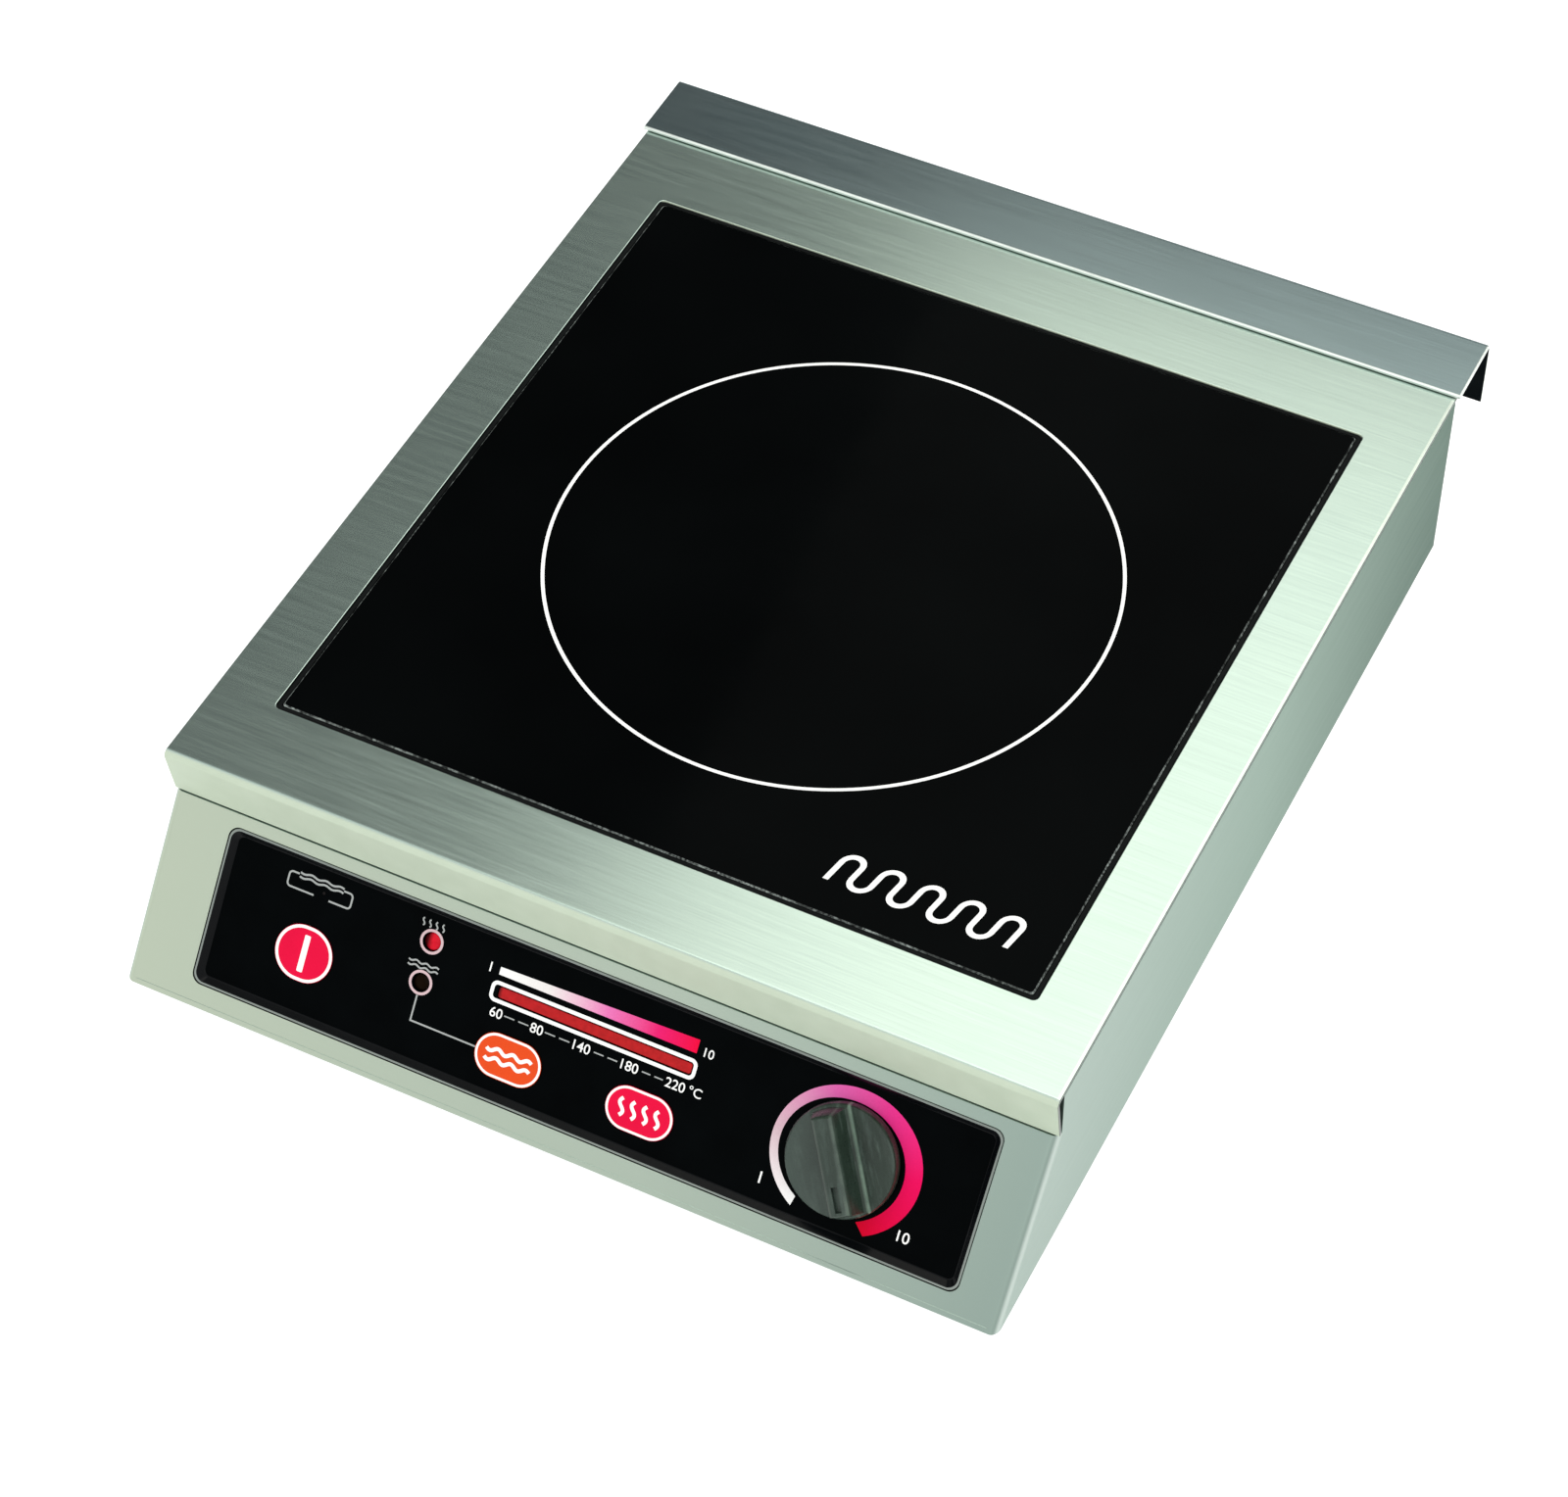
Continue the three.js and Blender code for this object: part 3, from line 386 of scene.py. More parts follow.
def gradient_ink(name, stops):
    """Printed ink whose colour runs along the mark, by the share each point holds."""
    material, tree, shader = new_material(name, specular_ior_level=0.03)
    share = tree.nodes.new("ShaderNodeAttribute")
    share.attribute_name = "share"
    ink = ramp(tree, share.outputs["Fac"], stops)
    fleck = noise(tree, (2500, 2500, 2500), 2)
    flecks = ramp(tree, fleck, [(0.3, (0.94, 0.94, 0.94)), (0.6, (1, 1, 1))])
    link(tree, multiply(tree, ink, flecks), shader.inputs["Base Color"])
    link(tree, spread(tree, fleck, 0.4, 0.5), shader.inputs["Roughness"])
    return material


def ceramic_glass():
    """Black glass ceramic: a polished face with faint wipe marks."""
    material, tree, shader = new_material("ceramic_glass", specular_ior_level=0.006)
    depth = noise(tree, (7, 7, 7), 3)
    tones = [(0.35, (0.0012, 0.0015, 0.0016)), (0.65, (0.0020, 0.0025, 0.0026))]
    link(tree, ramp(tree, depth, tones), shader.inputs["Base Color"])
    wipes = noise(tree, (25, 60, 25), 5, 0.65)
    link(tree, spread(tree, wipes, 0.05, 0.1), shader.inputs["Roughness"])
    return material


def cap_plastic(name, colour):
    """Button cap in its colour on its face, with painted shade that makes the wall below it nearly
    black.
    """
    material = surface(name, colour, 0.4, 700, 0.04, 0.05, specular_ior_level=0.05)
    # Painted shade: where the cap's surface turns away from its face, it goes nearly black.
    wall = facing(material.node_tree, OUT, 0.6, 0.3)
    overlay(material, wall, [(0.3, shade(colour, 0.05)), (0.7, shade(colour, 0.09))])
    return material


def knob_plastic():
    """Grey-green moulding with painted light on its left side, lighter streaks, and painted
    highlights along the blade's edges and its right-hand foot.
    """
    base = (0.016, 0.028, 0.020)
    material = surface("knob_plastic", base, 0.3, 1100, 0.2, 0.3, specular_ior_level=0.3)
    tree = material.node_tree
    # Painted light: the moulding gets lighter towards its left side.
    painted_left_light = [(0, (0.03, 0.047, 0.038)), (1, (0.045, 0.066, 0.055))]
    overlay(material, along(tree, "X", 5, -16), painted_left_light)
    # Lighter streaks that run along the blade.
    light_streaks = spread(tree, noise(tree, (400, 60, 400), 4, 0.65), 0, 1, 0.5, 0.75)
    overlay(material, light_streaks, [(0.3, (0.035, 0.055, 0.045)), (0.7, (0.065, 0.095, 0.078))])
    # Painted highlights: thin bright lines along the blade's two top edges and its right-hand foot.
    highlight_low, highlight_high = (0.05, 0.075, 0.06), (0.10, 0.14, 0.11)
    core = 0.1
    for middle, half, bright in ((-3.1, 0.8, 0.5), (3.1, 0.9, 0.8), (6.9, 0.8, 1.9)):
        left = along(tree, "X", middle - half, middle - core)
        right = along(tree, "X", middle + half, middle + core)
        blade_highlight = [(0.35, shade(highlight_low, bright)), (0.65, shade(highlight_high, bright))]
        overlay(material, both(tree, left, right), blade_highlight)
    return material


def ground_edge():
    """The glass's ground edge: chips and grit that break up a thin grey line."""
    material, tree, shader = new_material("ground_glass_edge", specular_ior_level=0.1)
    grit = noise(tree, (900, 900, 900), 4, 0.7)
    patches = noise(tree, (160, 160, 160), 3)
    grey = ramp(tree, grit, [(0.4, (0.01, 0.012, 0.012)), (0.62, (0.3, 0.34, 0.32))])
    faint = ramp(tree, patches, [(0.4, (0.2, 0.2, 0.2)), (0.6, (1, 1, 1))])
    link(tree, multiply(tree, grey, faint), shader.inputs["Base Color"])
    link(tree, spread(tree, grit, 0.5, 0.8), shader.inputs["Roughness"])
    bump(tree, shader, grit, 0.4, 0.0002)
    return material


def lit_lens(name, colour, glow, strength, lit_from=0.0, lit_to=0.02, gloss=0.1):
    """Coloured lens that glows over the part of its width between two shares, and is darker and
    dimmer over the rest.
    """
    material, tree, shader = new_material(name, specular_ior_level=gloss)
    lit = spread(tree, position(tree, "Generated", "X"), 0, 1, lit_from, lit_to)
    cells = noise(tree, (500, 500, 500), 3)
    grain = ramp(tree, cells, [(0.35, (0.8, 0.8, 0.8)), (0.65, (1, 1, 1))])
    body = ramp(tree, lit, [(0, shade(colour, 0.12)), (1, colour)])
    light = ramp(tree, lit, [(0, shade(glow, 0.04)), (1, glow)])
    link(tree, multiply(tree, body, grain), shader.inputs["Base Color"])
    link(tree, multiply(tree, light, grain), shader.inputs["Emission Color"])
    link(tree, spread(tree, cells, 0.12, 0.25), shader.inputs["Roughness"])
    shader.inputs["Emission Strength"].default_value = strength
    return material


MATERIALS = {
    "top_steel": top_steel(),
    "wrap_steel": wrap_steel(),
    "flange_steel": flange_steel(),
    "rear_steel": brushed_steel("rear_steel", STEEL, (16, 16, 1500), (0.3, 0.4)),
    "zinc": galvanised(),
    "aluminium": surface("aluminium", (0.6, 0.61, 0.61), 0.35, 900, 0.05, 0.1, metallic=1),
    "brass": surface("brass", (0.6, 0.42, 0.16), 0.3, 900, 0.06, 0.05, metallic=1),
    "copper": surface("lacquered_copper", (0.62, 0.25, 0.1), 0.35, 1400, 0.12, 0.3, metallic=1),
    "sealant": surface(
        "black_sealant", (0.004, 0.005, 0.005), 0.6, 700, 0.2, 0.4, specular_ior_level=0.06
    ),
    "gloss_black": surface(
        "gloss_black", (0.0011, 0.0016, 0.0018), 0.16, 300, 0.2, 0.02, specular_ior_level=0.01
    ),
    "rim_black": surface(
        "rim_black", (0.0022, 0.0028, 0.0034), 0.2, 300, 0.2, 0.02, specular_ior_level=0.09
    ),
    # Grey painted highlight for the crest of the bezel's rim.
    "rim_highlight_grey": surface("rim_highlight_grey", (0.19, 0.22, 0.20), 0.4, 300, 0.1, 0.02),
    "knob_plastic": knob_plastic(),
    "black_plastic": surface("black_plastic", (0.014, 0.015, 0.015), 0.5, 900, 0.15, 0.3),
    "rubber": surface("black_rubber", (0.02, 0.02, 0.02), 0.8, 1300, 0.2, 0.5),
    "crimson": cap_plastic("crimson_cap", (0.70, 0.004, 0.045)),
    "orange": cap_plastic("orange_cap", (0.69, 0.068, 0.013)),
    "board": surface("circuit_board", (0.02, 0.13, 0.055), 0.45, 700, 0.15, 0.2),
    "ferrite": surface("ferrite", (0.035, 0.035, 0.037), 0.55, 900, 0.15, 0.4),
    "mica": surface("mica", (0.55, 0.5, 0.37), 0.4, 350, 0.12, 0.15),
    "ivory": surface("ivory_plastic", (0.62, 0.58, 0.45), 0.45, 500, 0.05, 0.1),
    "resin": surface("blue_resin", (0.03, 0.07, 0.19), 0.3, 500, 0.1, 0.1),
    "glass": ceramic_glass(),
    "ground_edge": ground_edge(),
    "lit_lamp": lit_lens("lit_lamp", (0.25, 0.003, 0.008), (0.7, 0.012, 0.03), 0.72, 0.2, 0.5, 0.05),
    "dark_lamp": lit_lens("dark_lamp", (0.006, 0.003, 0.001), (0.01, 0.002, 0.001), 0.1, gloss=0.02),
    "light_bar": lit_lens("light_bar", (0.34, 0.008, 0.010), (0.6, 0.02, 0.02), 0.22),
    "white_ink": print_ink("white_ink", WHITE),
    "fine_ink": print_ink("fine_ink", (0.36, 0.38, 0.37)),
    "dark_ink": print_ink("dark_ink", (0.012, 0.010, 0.010)),
    "pink_ink": print_ink("pink_ink", (0.60, 0.44, 0.46)),
    "wedge_ink": gradient_ink("wedge_ink", [
        (0.0, WHITE), (0.25, (0.76, 0.73, 0.71)), (0.55, (0.74, 0.17, 0.44)),
        (0.8, (0.74, 0.015, 0.15)), (1.0, (0.78, 0.003, 0.045)),
    ]),
    "dial_ink": gradient_ink("dial_ink", [
        (0.0, WHITE), (0.2, (0.62, 0.45, 0.50)), (0.42, (0.75, 0.13, 0.43)),
        (0.58, (0.78, 0.035, 0.26)), (0.78, (0.76, 0.004, 0.10)), (1.0, (0.60, 0.0005, 0.02)),
    ]),
}

CAD_FINISHES = {
    "top_steel": ["top_plate"],
    "wrap_steel": ["body_wrap"],
    "flange_steel": ["rear_flange"],
    "rear_steel": ["rear_panel"],
    "zinc": ["base_plate", "glass_support_frame", "encoder_body"],
    "aluminium": ["glass_temperature_sensor", "coil_post_", "heatsink", "encoder_shaft"],
    "brass": ["board_standoff_", "encoder_nut"],
    "copper": ["filter_choke", "coil_lead_"],
    "sealant": ["glass_seal"],
    "black_plastic": [
        "coil_carrier", "warm_switch", "heat_switch", "power_switch", "power_transistor_",
        "bridge_rectifier", "fan_housing", "fan_rotor", "cord_gland", "gland_nut",
    ],
    "rubber": ["foot_"],
    "crimson": ["power_button", "heat_button"],
    "orange": ["warm_button"],
    "board": ["control_board", "power_board"],
    "ferrite": ["ferrite_bar_"],
    "mica": ["mica_sheet"],
    "ivory": ["terminal_block"],
    "resin": ["resonance_capacitor", "filter_capacitor"],
    "lit_lamp": ["heat_lamp"],
    "dark_lamp": ["warm_lamp"],
    "light_bar": ["light_bar"],
}

# Edge radius of each kind of CAD piece, in millimetres: sheet edges are only just broken.
EDGE_RADII = {
    "top_plate": 0.35, "rear_flange": 0.3, "body_wrap": 0.35, "rear_panel": 0.25,
    "base_plate": 0.25, "power_button": 0.25, "warm_button": 0.25, "heat_button": 0.25,
    "cord_gland": 0.4, "foot_": 0.5, "fan_housing": 0.4, "light_bar": 0.2,
}


def smooth(mesh):
    mesh.polygons.foreach_set("use_smooth", [True] * len(mesh.polygons))


def soften_edges(piece, radius, angle=40):
    """Breaks a piece's sharp edges and keeps its flat faces flat."""
    weld = piece.modifiers.new("weld", "WELD")
    weld.merge_threshold = 0.00001
    flat = piece.modifiers.new("flat", "DECIMATE")
    flat.decimate_type = "DISSOLVE"
    flat.angle_limit = math.radians(0.5)
    edges = piece.modifiers.new("edges", "BEVEL")
    edges.width = radius * MM
    edges.segments = 3
    edges.limit_method = "ANGLE"
    edges.angle_limit = math.radians(angle)
    normals = piece.modifiers.new("normals", "WEIGHTED_NORMAL")
    normals.weight = 100
    normals.keep_sharp = True
    smooth(piece.data)


def shade_by_angle(piece, degrees):
    smooth(piece.data)
    piece.data.set_sharp_from_angle(angle=math.radians(degrees))


def finish_cad_nodes():
    for name, node in frame["nodes"].items():
        for finish, starts in CAD_FINISHES.items():
            if name.startswith(tuple(starts)):
                node.data.materials.clear()
                node.data.materials.append(MATERIALS[finish])
        for start, radius in EDGE_RADII.items():
            if name.startswith(start):
                soften_edges(node, radius)


# -------- mesh tools
def add_piece(name, mesh, finish, body="casing", matrix=None):
    piece = bpy.data.objects.new(name, mesh)
    bpy.context.scene.collection.objects.link(piece)
    piece.matrix_world = matrix or Matrix.Identity(4)
    mesh.materials.clear()
    mesh.materials.append(MATERIALS[finish])
    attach(piece, body)
    return piece


def evaluated_mesh(piece):
    """A new mesh with the piece's modifiers, bevel and fill applied; the piece is removed."""
    bpy.context.view_layer.update()
    graph = bpy.context.evaluated_depsgraph_get()
    mesh = bpy.data.meshes.new_from_object(piece.evaluated_get(graph), depsgraph=graph)
    bpy.data.objects.remove(piece)
    return mesh


def weld(mesh, distance=0.000001):
    work = bmesh.new()
    work.from_mesh(mesh)
    bmesh.ops.remove_doubles(work, verts=work.verts, dist=distance)
    bmesh.ops.recalc_face_normals(work, faces=work.faces)
    work.to_mesh(mesh)
    work.free()
    return mesh


def temporary(name, data):
    piece = bpy.data.objects.new(name, data)
    bpy.context.scene.collection.objects.link(piece)
    return piece


def slab(name, outlines, bottom, top):
    """Slab between two heights; outlines are lists of (right, down), and inner ones are holes."""
    curve = bpy.data.curves.new(name, "CURVE")
    curve.dimensions = "2D"
    curve.fill_mode = "BOTH"
    curve.extrude = (top - bottom) / 2 * MM
    for outline in outlines:
        spline = curve.splines.new("POLY")
        spline.points.add(len(outline) - 1)
        for point, (x, down) in zip(spline.points, outline):
            point.co = (x * MM, -down * MM, 0, 1)
        spline.use_cyclic_u = True
    mesh = evaluated_mesh(temporary(name, curve))
    mesh.transform(Matrix.Translation((0, 0, (top + bottom) / 2 * MM)))
    return weld(mesh)


def loft(name, rings, closed=False):
    """Joins rings of equal length, each a list of points in millimetres, into one skin."""
    work = bmesh.new()
    rows = [[work.verts.new(Vector(point) * MM) for point in ring] for ring in rings]
    pairs = list(zip(rows, rows[1:]))
    if closed:
        pairs.append((rows[-1], rows[0]))
    for first, second in pairs:
        count = len(first)
        for index in range(count):
            after = (index + 1) % count
            work.faces.new((first[index], first[after], second[after], second[index]))
    if not closed:
        work.faces.new(list(reversed(rows[0])))
        work.faces.new(rows[-1])
    bmesh.ops.recalc_face_normals(work, faces=work.faces)
    mesh = bpy.data.meshes.new(name)
    work.to_mesh(mesh)
    work.free()
    return mesh


def turned(name, profile, sides=96):
    """Body of revolution about Z from (radius, height) points; its ends are capped."""
    rings = []
    for radius, height in profile:
        angles = [2 * math.pi * index / sides for index in range(sides)]
        rings.append([(radius * math.cos(a), radius * math.sin(a), height) for a in angles])
    return loft(name, rings)


def prism(name, outline, depth):
    """Outline in the XZ plane, extruded along Y and centred on it."""
    near = [(x, -depth / 2, z) for x, z in outline]
    far = [(x, depth / 2, z) for x, z in outline]
    return loft(name, [near, far])


def combine(name, mesh, *steps):
    """Applies boolean steps, each (operation, mesh), to a mesh."""
    piece = temporary(name, mesh)
    tools = []
    for operation, tool_mesh in steps:
        tool = temporary(name + "_tool", tool_mesh)
        step = piece.modifiers.new(operation, "BOOLEAN")
        step.operation = operation
        step.solver = "EXACT"
        step.object = tool
        tools.append(tool)
    result = evaluated_mesh(piece)
    for tool in tools:
        bpy.data.objects.remove(tool)
    return weld(result)


def arc(centre, radius, start, end, steps=8):
    """Points of an arc; angles are in degrees, clockwise from the right as down is positive."""
    points = []
    for index in range(steps + 1):
        angle = math.radians(start + (end - start) * index / steps)
        points.append((centre[0] + radius * math.cos(angle), centre[1] + radius * math.sin(angle)))
    return points


def rounded_box_outline(centre, width, height, radius, steps=8):
    """Rounded rectangle, as (right, down) points."""
    points = []
    for side, level, start in ((1, 1, 0), (-1, 1, 90), (-1, -1, 180), (1, -1, 270)):
        middle_x = centre[0] + side * (width / 2 - radius)
        middle_y = centre[1] + level * (height / 2 - radius)
        points += arc((middle_x, middle_y), radius, start, start + 90, steps)
    return points


def pill_outline(centre, width, height, steps):
    """Outline whose two ends are half round."""
    return rounded_box_outline(centre, width, height, min(width, height) / 2 - 0.01, steps)


def circle_outline(centre, radius, count):
    return arc(centre, radius, 0, 360, count)[:-1]


def stroke(path, width):
    """Outline of a pen line of a given width along a path."""
    half = width / 2
    left, right = [], []
    for index, (x, y) in enumerate(path):
        before = path[max(0, index - 1)]
        after = path[min(len(path) - 1, index + 1)]
        run = math.hypot(after[0] - before[0], after[1] - before[1])
        across = (-(after[1] - before[1]) / run, (after[0] - before[0]) / run)
        left.append((x + across[0] * half, y + across[1] * half))
        right.append((x - across[0] * half, y - across[1] * half))
    return left + right[::-1]


# -------- printed marks
INK = 0.03  # how far a print stands above its surface
FIGURE_HEIGHT = 0.7  # of the built-in font, at a size of 1


def mark(name, outlines, finish="white_ink", body="casing", level=FLOOR, slot="gloss_black_plastic"):
    """Printed mark on the panel: a film that stands just proud of its surface."""
    mesh = slab(name, outlines, level - 2 * INK, level + INK)
    return add_piece(name, mesh, finish, body, PANEL)


def numerals(name, text, centre, height):
    """Numerals of a given height, centred on a place on the panel."""
    font = bpy.data.curves.new(name, "FONT")
    font.body = text
    font.extrude = 1.5 * INK * FIGURE_HEIGHT / height
    font.offset = 0.006
    mesh = weld(evaluated_mesh(temporary(name, font)), 0.00001)
    xs = [v.co.x for v in mesh.vertices]
    ys = [v.co.y for v in mesh.vertices]
    size = height * MM / (max(ys) - min(ys))
    middle = Vector(((max(xs) + min(xs)) / 2, (max(ys) + min(ys)) / 2, 0))
    place = Vector((centre[0] * MM, -centre[1] * MM, (FLOOR - INK / 2) * MM))
    mesh.transform(Matrix.Translation(place) @ Matrix.Scale(size, 4) @ Matrix.Translation(-middle))
    add_piece(name, mesh, "white_ink", "casing", PANEL)


def share_along(piece, measure):
    """Stores how far along the mark each point is, for its gradient ink."""
    shares = piece.data.attributes.new("share", "FLOAT", "POINT")
    for vertex, value in zip(piece.data.vertices, shares.data):
        value.value = measure(vertex.co.x / MM, -vertex.co.y / MM)


def wave_path(start, length, height, periods, upright=False):
    """Sine line from a starting place, along the panel or, if upright, up it."""
    path = []
    steps_a_period = 12
    count = periods * steps_a_period
    for index in range(count + 1):
        run = length * index / count
        off = height / 2 * math.sin(2 * math.pi * periods * index / count)
        step = (off, -run) if upright else (run, off)
        path.append((start[0] + step[0], start[1] + step[1]))
    return path


def heat_sign(name, centre, height, pitch, count, width, **where):
    """Upright heat waves side by side."""
    outlines = []
    for index in range(count):
        x = centre[0] + pitch * (index - (count - 1) / 2)
        path = wave_path((x, centre[1] + height / 2), height, height * 0.3, 1, True)
        outlines.append(stroke(path, width))
    mark(name, outlines, **where)


def warm_sign(name, centre, length, pitch, count, width, **where):
    """Level heat waves one above the other."""
    outlines = []
    for index in range(count):
        y = centre[1] + pitch * (index - (count - 1) / 2)
        path = wave_path((centre[0] - length / 2, y), length, pitch * 0.42, 3)
        outlines.append(stroke(path, width))
    mark(name, outlines, **where)


def status_bracket():
    """Open bracket round a small dark window, with a warmth sign in its upper line."""
    left, right, top, bottom, corner, pen = 24.2, 48.8, 7.7, 13.0, 1.3, 0.65
    gap_left, gap_right = 34.7, 40.6
    path = [(gap_left, bottom), (left + corner + 0.6, bottom)]
    path += arc((left + corner, bottom - corner), corner, 90, 180)
    path += arc((left + corner, top + corner), corner, 180, 270)
    path += [(left + 3.6, top)]
    mirrored = [(left + right - x, y) for x, y in path]
    mirrored[0] = (gap_right, bottom)
    mark("status_bracket", [stroke(path, pen), stroke(mirrored, pen)], "fine_ink")
    warm_sign("status_sign", (36.6, 7.8), 17, 1.5, 2, 0.7, finish="fine_ink")
    mark("status_lamp", [circle_outline((38.3, 11.0), 0.5, 24)], "dark_ink")


def temperature_scale():
    """Numbers under the light bar, with two dashes between neighbours."""
    level, height, pen = 27.5, 3.5, 0.45
    stops = [("60", 109.6), ("80", 125.0), ("140", 142.0), ("180", 160.0), ("220", 177.0)]
    half_widths = {2: 2.7, 3: 4.2}  # of numbers with two and three figures
    margin, gap = 0.4, 1.5
    dashes = []
    for (text, x), (next_text, next_x) in zip(stops, stops[1:]):
        start = x + half_widths[len(text)] + margin
        end = next_x - half_widths[len(next_text)] - margin
        dash = (end - start - gap) / 2
        for left in (start, end - dash):
            dashes.append(stroke([(left, level), (left + dash, level)], pen))
    for text, x in stops:
        numerals("scale_" + text, text, (x, level), height)
    numerals("scale_unit", "°C", (184.4, level - 0.2), height)
    mark("scale_dashes", dashes, "fine_ink")


def light_bar_marks():
    """Frame round the light bar, and above it a wedge that grows with the heat."""
    x, y = panel_place("light_bar")
    centre = (x - 0.6, y)
    width, height, line, corner = 77.3, 7.4, 1.3, 2.4
    outer = rounded_box_outline(centre, width, height, corner)
    inner = rounded_box_outline(centre, width - 2 * line, height - 2 * line, corner / 2)
    mark("light_bar_frame", [outer, inner])
    left, right, bottom = 106.9, 181.0, 14.6
    low_top, high_top = bottom - 2.7, bottom - 4.8
    outline = [(left, low_top), (right, high_top), (right, bottom), (left, bottom)]
    wedge = mark("heat_wedge", [outline], "wedge_ink")
    share_along(wedge, lambda x, _: (x - left) / (right - left))
    numerals("wedge_low", "1", (103.4, 13.1), 3.4)
    numerals("wedge_high", "10", (185.3, 13.2), 3.2)


def dial():
    """Arc round the knob that widens and deepens in colour towards full power."""
    centre = panel_place("knob")
    low, high, steps = -149, 151.5, 72  # the arc's ends are in degrees, clockwise from up
    # Outer and inner edge: offset right and down from the knob's axis, then two half sizes.
    edges = [(0.6, 0.5, 26.7, 24.95), (-0.9, 0.75, 22.2, 20.5)]
    lines = []
    for right, down, wide, tall in edges:
        line = []
        for index in range(steps + 1):
            angle = math.radians(low + (high - low) * index / steps)
            x = centre[0] + right + wide * math.sin(angle)
            line.append((x, centre[1] + down - tall * math.cos(angle)))
        lines.append(line)
    outside, inside = lines
    piece = mark("dial_arc", [outside + inside[::-1]], "dial_ink")

    def angle_share(x, y):
        angle = math.degrees(math.atan2(x - centre[0], centre[1] - y))
        return (angle - low) / (high - low)

    share_along(piece, angle_share)
    numerals("dial_low", "1", (214.0, 46.0), 4.1)
    numerals("dial_high", "10", (266.2, 46.7), 3.9)


def lamp_marks():
    """Ring and sign of each lamp, and the line from the lower lamp to its button."""
    for name in ("heat_lamp", "warm_lamp"):
        place = panel_place(name)
        rings = [circle_outline(place, 4.35, 48), circle_outline(place, LAMP_HOLE + 0.1, 48)]
        mark(name + "_ring", rings, "pink_ink")
    heat_x, heat_y = panel_place("heat_lamp")
    warm_x, warm_y = panel_place("warm_lamp")
    heat_sign("heat_lamp_sign", (heat_x - 0.9, heat_y - 5.8), 2.7, 2.5, 4, 0.55, finish="fine_ink")
    warm_sign("warm_lamp_sign", (warm_x - 0.6, warm_y - 5.8), 11.5, 1.6, 2, 0.6, finish="fine_ink")
    button_x, button_y = panel_place("warm_button")
    start, end, half = warm_y + 4.5, button_x - 12.6, 0.3
    outline = [
        (warm_x - half, start), (warm_x - half, button_y + half), (end, button_y + half),
        (end, button_y - half), (warm_x + half, button_y - half), (warm_x + half, start),
    ]
    mark("warm_link", [outline], "fine_ink")


def button_marks():
    """Outline and sign on each button's cap."""
    power = panel_place("power_button")
    where = {"level": BUTTON_FACE, "slot": "crimson_plastic", "body": "power_button"}
    width, height = button_size("power_button")
    rings = [pill_outline(power, width - inset, height - inset, 16) for inset in (0.3, 2.5)]
    mark("power_ring", rings, **where)
    mark("power_sign", [rounded_box_outline(power, 2.2, 13.2, 0.4, 3)], **where)
    for name, slot in (("warm", "orange_plastic"), ("heat", "crimson_plastic")):
        centre = panel_place(name + "_button")
        width, height = (size - 0.4 for size in button_size(name + "_button"))
        edge = 0.85
        outer = pill_outline(centre, width, height, 12)
        inner = pill_outline(centre, width - 2 * edge, height - 2 * edge, 12)
        where = {"level": BUTTON_FACE, "slot": slot, "body": name + "_button"}
        mark(name + "_outline", [outer, inner], **where)
        if name == "warm":
            warm_sign("warm_sign", centre, 17, 3.3, 2, 1.35, **where)
        else:
            heat_sign("heat_sign", centre, 6.2, 4.4, 4, 1.3, **where)


# -------- cooking surface
def glass_pane():
    """Glass with a ground chamfer; returns its middle, half size and top in millimetres."""
    low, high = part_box("glass_panel")
    middle = (low + high) / 2
    half = (high.x - low.x) / 2 / MM
    centre = (middle.x / MM, -middle.y / MM)
    chamfer, corner = 0.5, 1.2
    levels = [(half, low.z / MM), (half, high.z / MM - chamfer), (half - chamfer, high.z / MM)]
    rings = []
    for reach, level in levels:
        outline = rounded_box_outline(centre, 2 * reach, 2 * reach, corner, 4)
        rings.append([(x, -down, level) for x, down in outline])
    mesh = loft("glass_pane", rings)
    pane = add_piece("glass_pane", mesh, "glass")
    mesh.materials.append(MATERIALS["ground_edge"])
    for face in mesh.polygons:
        if 0.1 < face.normal.z < 0.9:
            face.material_index = 1
    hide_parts("glass_panel")
    return middle.x / MM, middle.y / MM, half, high.z / MM


def glass_prints():
    """The cooking zone's ring and a sign of a winding near the front right corner."""
    x, y, half, top = glass_pane()
    radius, line, steps = 101.5, 1.3, 240
    rings = [circle_outline((x, -y), radius + side * line / 2, steps) for side in (1, -1)]
    ring = slab("zone_ring", rings, top - 2 * INK, top + INK)
    add_piece("zone_ring", ring, "white_ink")
    add_piece("winding_sign", winding_sign(x + half, y - half, top), "white_ink")


def winding_sign(right, front, top):
    """Meander of upright strokes with round bends, leaning like italic figures."""
    bend, height, width, strokes, lean = 3.6, 12.6, 2.0, 10, 0.2
    margin_right, margin_front = 16.2, 13.4
    left = right - margin_right - 2 * bend * (strokes - 1)
    base = front + margin_front
    path = [(left, 0)]
    for index in range(strokes - 1):
        x = left + 2 * bend * index + bend
        if index % 2 == 0:
            path += arc((x, height - bend), bend, 180, 0, 14)
        else:
            path += arc((x, bend), bend, 180, 360, 14)
    path.append((left + 2 * bend * (strokes - 1), 0))
    outline = stroke(path, width)
    slanted = [(px + lean * py, -(base + py)) for px, py in outline]
    return slab("winding_sign", [slanted], top - 2 * INK, top + INK)


# -------- controls
def bezel_ring(inset, level):
    """Ring of points round the bezel, so far in from its edge and at one height."""
    centre = (BEZEL_WIDTH / 2, BEZEL_HEIGHT / 2)
    outline = rounded_box_outline(
        centre, BEZEL_WIDTH - 2 * inset, BEZEL_HEIGHT - 2 * inset, max(1.5, 4 - inset * 0.6)
    )
    return [(x, -down, level) for x, down in outline]


